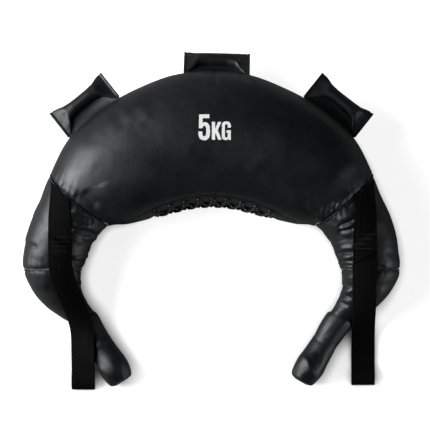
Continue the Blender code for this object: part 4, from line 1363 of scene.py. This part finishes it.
def eyelets():
    """A dark metal ring round each eyelet hole."""
    turns = turns_of(24)[:, None]
    radius = 2 * (LACE_RADIUS + LACE_CLEARANCE) + EYELET_RIM
    for half in (1, -1):
        for number, station in enumerate(eyelet_stations()):
            middle = lace_side(station, half * LACE_REACH, EYELET_LIFT)
            up = unit(middle - lace_side(station, half * LACE_REACH, -LEATHER))
            aside = unit(lace_side(station + 0.05, half * LACE_REACH, EYELET_LIFT) - middle)
            route = middle + radius * (np.cos(turns) * aside + np.sin(turns) * np.cross(up, aside))
            ring = tube_object(f"eyelet_{half + 1}_{number}", route, EYELET_RIM, True)
            dress(ring, EYELET_LOOK, "bag", "black_leather")


# The weight mark, from outlines on a unit square
FIVE = (
    (0.06, 1), (0.94, 1), (0.94, 0.85), (0.37, 0.85), (0.36, 0.655), (0.44, 0.685), (0.56, 0.7), (0.75, 0.675),
    (0.9, 0.61), (0.98, 0.5), (1, 0.38), (1, 0.27), (0.97, 0.15), (0.88, 0.06), (0.72, 0.005), (0.5, -0.015),
    (0.28, 0.005), (0.12, 0.06), (0.03, 0.15), (0, 0.26), (0, 0.33), (0.335, 0.33), (0.34, 0.24),
    (0.37, 0.175), (0.43, 0.145), (0.5, 0.138), (0.58, 0.148), (0.64, 0.18), (0.668, 0.24), (0.672, 0.33),
    (0.668, 0.43), (0.64, 0.505), (0.58, 0.542), (0.5, 0.55), (0.42, 0.535), (0.37, 0.495), (0.345, 0.455),
    (0.035, 0.455),
)
KAY = (
    (0, 0), (0, 1), (0.34, 1), (0.34, 0.6), (0.65, 1), (1, 1), (0.62, 0.53), (1.02, 0), (0.65, 0), (0.4, 0.37),
    (0.34, 0.29), (0.34, 0),
)
GEE = (
    (1, 0.67), (1, 0.77), (0.96, 0.89), (0.86, 0.965), (0.7, 1.005), (0.5, 1.015), (0.3, 1.005), (0.14, 0.965),
    (0.04, 0.89), (0, 0.77), (0, 0.23), (0.04, 0.11), (0.14, 0.035), (0.3, -0.005), (0.45, -0.012),
    (0.6, 0.01), (0.69, 0.055), (0.735, 0.11), (0.76, 0), (1, 0), (1, 0.53), (0.52, 0.53), (0.52, 0.39),
    (0.66, 0.39), (0.66, 0.24), (0.64, 0.175), (0.58, 0.142), (0.5, 0.134), (0.42, 0.142), (0.365, 0.175),
    (0.345, 0.24), (0.345, 0.76), (0.365, 0.825), (0.42, 0.858), (0.5, 0.866), (0.58, 0.858), (0.635, 0.825),
    (0.655, 0.76), (0.655, 0.67),
)
# Each glyph with its left, right, top and bottom in the photograph's pixels
GLYPHS = ((FIVE, 198.6, 210.1, 115.7, 141.0), (KAY, 211.9, 221.3, 123.1, 140.8), (GEE, 221.7, 230.6, 122.9, 141.0))

def weight_mark(panel):
    """The mark, cut into small triangles that lie on the front panel."""
    corners = np.array([vertex.co for vertex in panel.data.vertices])
    grid = corners.reshape(PANEL_ROWS + 2, PANEL_COLUMNS + 2, 3)[1:-1:2, 1:-1:2]
    places = [Vector(place) for place in grid.reshape(-1, 3).tolist()]
    surface = BVHTree.FromPolygons(places, grid_faces(*grid.shape[:2]).tolist())
    built = bmesh.new()
    for outline, left, right, top, bottom in GLYPHS:
        places = [spot(left + (right - left) * x, bottom - (bottom - top) * y) for x, y in outline]
        built.faces.new([built.verts.new((*place, 0.0)) for place in places])
    for way, low, high in (((1, 0, 0), *MARK_SPAN_X), ((0, 1, 0), *MARK_SPAN_Y)):
        for cut in np.arange(low, high, MARK_CELL):
            geometry = built.verts[:] + built.edges[:] + built.faces[:]
            bmesh.ops.bisect_plane(built, geom=geometry, plane_co=Vector(way) * cut, plane_no=way)
    bmesh.ops.triangulate(built, faces=built.faces)
    for corner in built.verts:
        hit = surface.ray_cast(Vector((corner.co.x, corner.co.y, 0.3)), -Vector(UP))[0]
        if hit is not None:
            corner.co = hit + Vector(UP) * MARK_LIFT
    bmesh.ops.recalc_face_normals(built, faces=built.faces)
    mesh_data = bpy.data.meshes.new("weight_mark")
    built.to_mesh(mesh_data)
    built.free()
    if sum(face.normal.z for face in mesh_data.polygons) < 0:
        mesh_data.flip_normals()
    mesh_data.shade_smooth()
    dress(scene_object("weight_mark", mesh_data), PRINT_LOOK, "bag", "black_leather")


# Pieces on the frame
front_panel = centre_panel("front_panel", 1, "centre_front_panel")
centre_panel("back_panel", -1, "centre_back_panel")
for side, hand in ((-1, "left"), (1, "right")):
    diagonal, elbow, neck = diagonal_seam(side), seam(side, ELBOW), seam(side, NECK)
    edges = seam_edge(diagonal, side), seam_edge(elbow, -side)
    upper_cover = arm_cover(hand, "upper", side, *edges, 230)
    lower_cover = arm_cover(hand, "lower", side, seam_edge(elbow, side), neck, 170)
    turns = turns_of(220)
    for label, route in (("diagonal", diagonal), ("elbow", elbow)):
        places = skin(route(turns), turns, WELT_SINK)
        places[:, 2] = np.maximum(places[:, 2], WELT_RADIUS)
        seam_bead(f"{hand}_{label}_bead", places, f"{hand}_{label}_seam_welt", True)
    horn(hand, side)
    neck_gather(hand, side)
    # Topstitching beside the seams, on the side that shows
    sewn = np.radians(np.linspace(4.0, 176.0, 170))
    for label, piece, route, away in (
        ("panel", front_panel, diagonal, -side),
        ("shoulder", upper_cover, diagonal, side),
        ("elbow_upper", upper_cover, elbow, -side),
        ("elbow_lower", lower_cover, elbow, side),
    ):
        line = skin(station_after(route(sewn), sewn, away * SEAM_TO_STITCH), sewn)
        sew(f"{hand}_{label}_thread", piece, line)
rim_stations = np.linspace(*(float(edge(0.0)) for edge in CENTRE_EDGES), 300)
seam_bead("rim_bead", skin(rim_stations, 0.0, WELT_SINK), "outer_rim_welt")
front_flap = flap("front_flap", 1, "lacing_flap_front")
flap("back_flap", -1, "lacing_flap_back")
tongue()
lace()
eyelets()
stations = np.linspace(FLAP_THREAD_INSET - FLAP_END, FLAP_END - FLAP_THREAD_INSET, 240)
line = skin(stations, math.pi - angle_of(stations, flap_spread(stations) - SEAM_TO_STITCH))
sew("flap_seam_thread", front_flap, line)
for number, station in enumerate(FLAP_STITCH_STATIONS):
    reaches = np.linspace(0.005, float(flap_spread(station)) - SEAM_TO_STITCH, 60)
    sew(f"flap_end_thread_{number}", front_flap, skin(station, math.pi - angle_of(station, reaches)))
stations = np.linspace(*RIM_THREAD_STATIONS, 200)
sew("rim_thread", front_panel, skin(stations, angle_of(stations, SEAM_TO_STITCH + 0.001)))
straps()
grip("left", -SIDE_GRIP_STATION, SIDE_GRIP_DROOP, 201)
grip("centre", CENTRE_GRIP_STATION, CENTRE_GRIP_DROOP, 211)
grip("right", SIDE_GRIP_STATION, SIDE_GRIP_DROOP, 221)
weight_mark(front_panel)

# The inner solids, which the covers hide
INNER_LOOKS = (
    ("filling", cloth_shader("fibre", (0.38, 0.36, 0.33), (0.52, 0.50, 0.47), 120.0)),
    ("pouch", cloth_shader("sand_cloth", (0.27, 0.22, 0.16), (0.36, 0.31, 0.24), 240.0)),
    ("horn_core", wood_shader("hardwood")),
    ("grip_core", cloth_shader("foam", (0.16, 0.16, 0.17), (0.24, 0.24, 0.25), 400.0)),
)
for node_name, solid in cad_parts.items():
    for key, look in INNER_LOOKS:
        if key in node_name:
            solid.data.materials.clear()
            solid.data.materials.append(look)

# Floor, which the camera sees lifted to white by a glow; ambient occlusion dims the glow close under the bag, a
# painted contact shadow
floor_mesh = bpy.data.meshes.new("floor")
floor_mesh.from_pydata([(-6, -6, 0), (6, -6, 0), (6, 6, 0), (-6, 6, 0)], [], [(0, 1, 2, 3)])
floor = scene_object("floor", floor_mesh)
floor_look = Shader("floor", (0.86, 0.86, 0.86), 0.9)
floor_look.give("Emission Color", (1.0, 1.0, 1.0, 1.0))
seen = floor_look.add("ShaderNodeLightPath").outputs[0]
floor_look.give("Base Color", floor_look.mix(seen, (0.30, 0.30, 0.30), (0.86, 0.86, 0.86)))
# Painted contact shadow: ambient occlusion dims the floor's glow close under the bag
opened = floor_look.add("ShaderNodeAmbientOcclusion", {"Distance": FLOOR_SHADE_REACH}).outputs["AO"]
lift = floor_look.calc("MULTIPLY", floor_look.ramp(opened, 0.35, 0.95), FLOOR_LIFT)
floor_look.give("Emission Strength", floor_look.calc("MULTIPLY", seen, lift))
floor_mesh.materials.append(floor_look.material)

# Lights and world
for name, place, width, height, power in (
    ("left_softbox", (-2.0, 0.30, 1.15), 1.5, 2.0, 104.0),
    ("right_softbox", (2.1, -0.95, 0.50), 1.5, 0.6, 16.0),
    ("far_softbox", (-0.3, 2.4, 0.6), 1.6, 0.4, 1.4),
):
    lamp_data = bpy.data.lights.new(name, "AREA")
    lamp_data.shape = "RECTANGLE"
    lamp_data.size = width
    lamp_data.size_y = height
    lamp_data.energy = power
    lamp = scene_object(name, lamp_data)
    lamp.location = place
    lamp.rotation_euler = (Vector(LIGHT_TARGET) - Vector(place)).to_track_quat("-Z", "Y").to_euler()

world = bpy.data.worlds.new("world")
bpy.context.scene.world = world
world.use_nodes = True
background = world.node_tree.nodes["Background"].inputs
background["Color"].default_value = (0.95, 0.98, 1.0, 1.0)
background["Strength"].default_value = 0.030

# Camera, straight down, with the photograph's scale at the bag's middle height
camera_data = bpy.data.cameras.new("camera")
camera = scene_object("camera", camera_data)
bpy.context.scene.camera = camera
camera_data.sensor_width = SENSOR_MM
camera_data.lens = SENSOR_MM * (CAMERA_HEIGHT - MIDDLE_HEIGHT) / (PHOTO_PIXELS * PIXEL)
camera.location = (*spot(PHOTO_PIXELS / 2, PHOTO_PIXELS / 2), CAMERA_HEIGHT)
camera.rotation_euler = (0.0, 0.0, 0.0)

bpy.context.scene.view_settings.view_transform = "Standard"
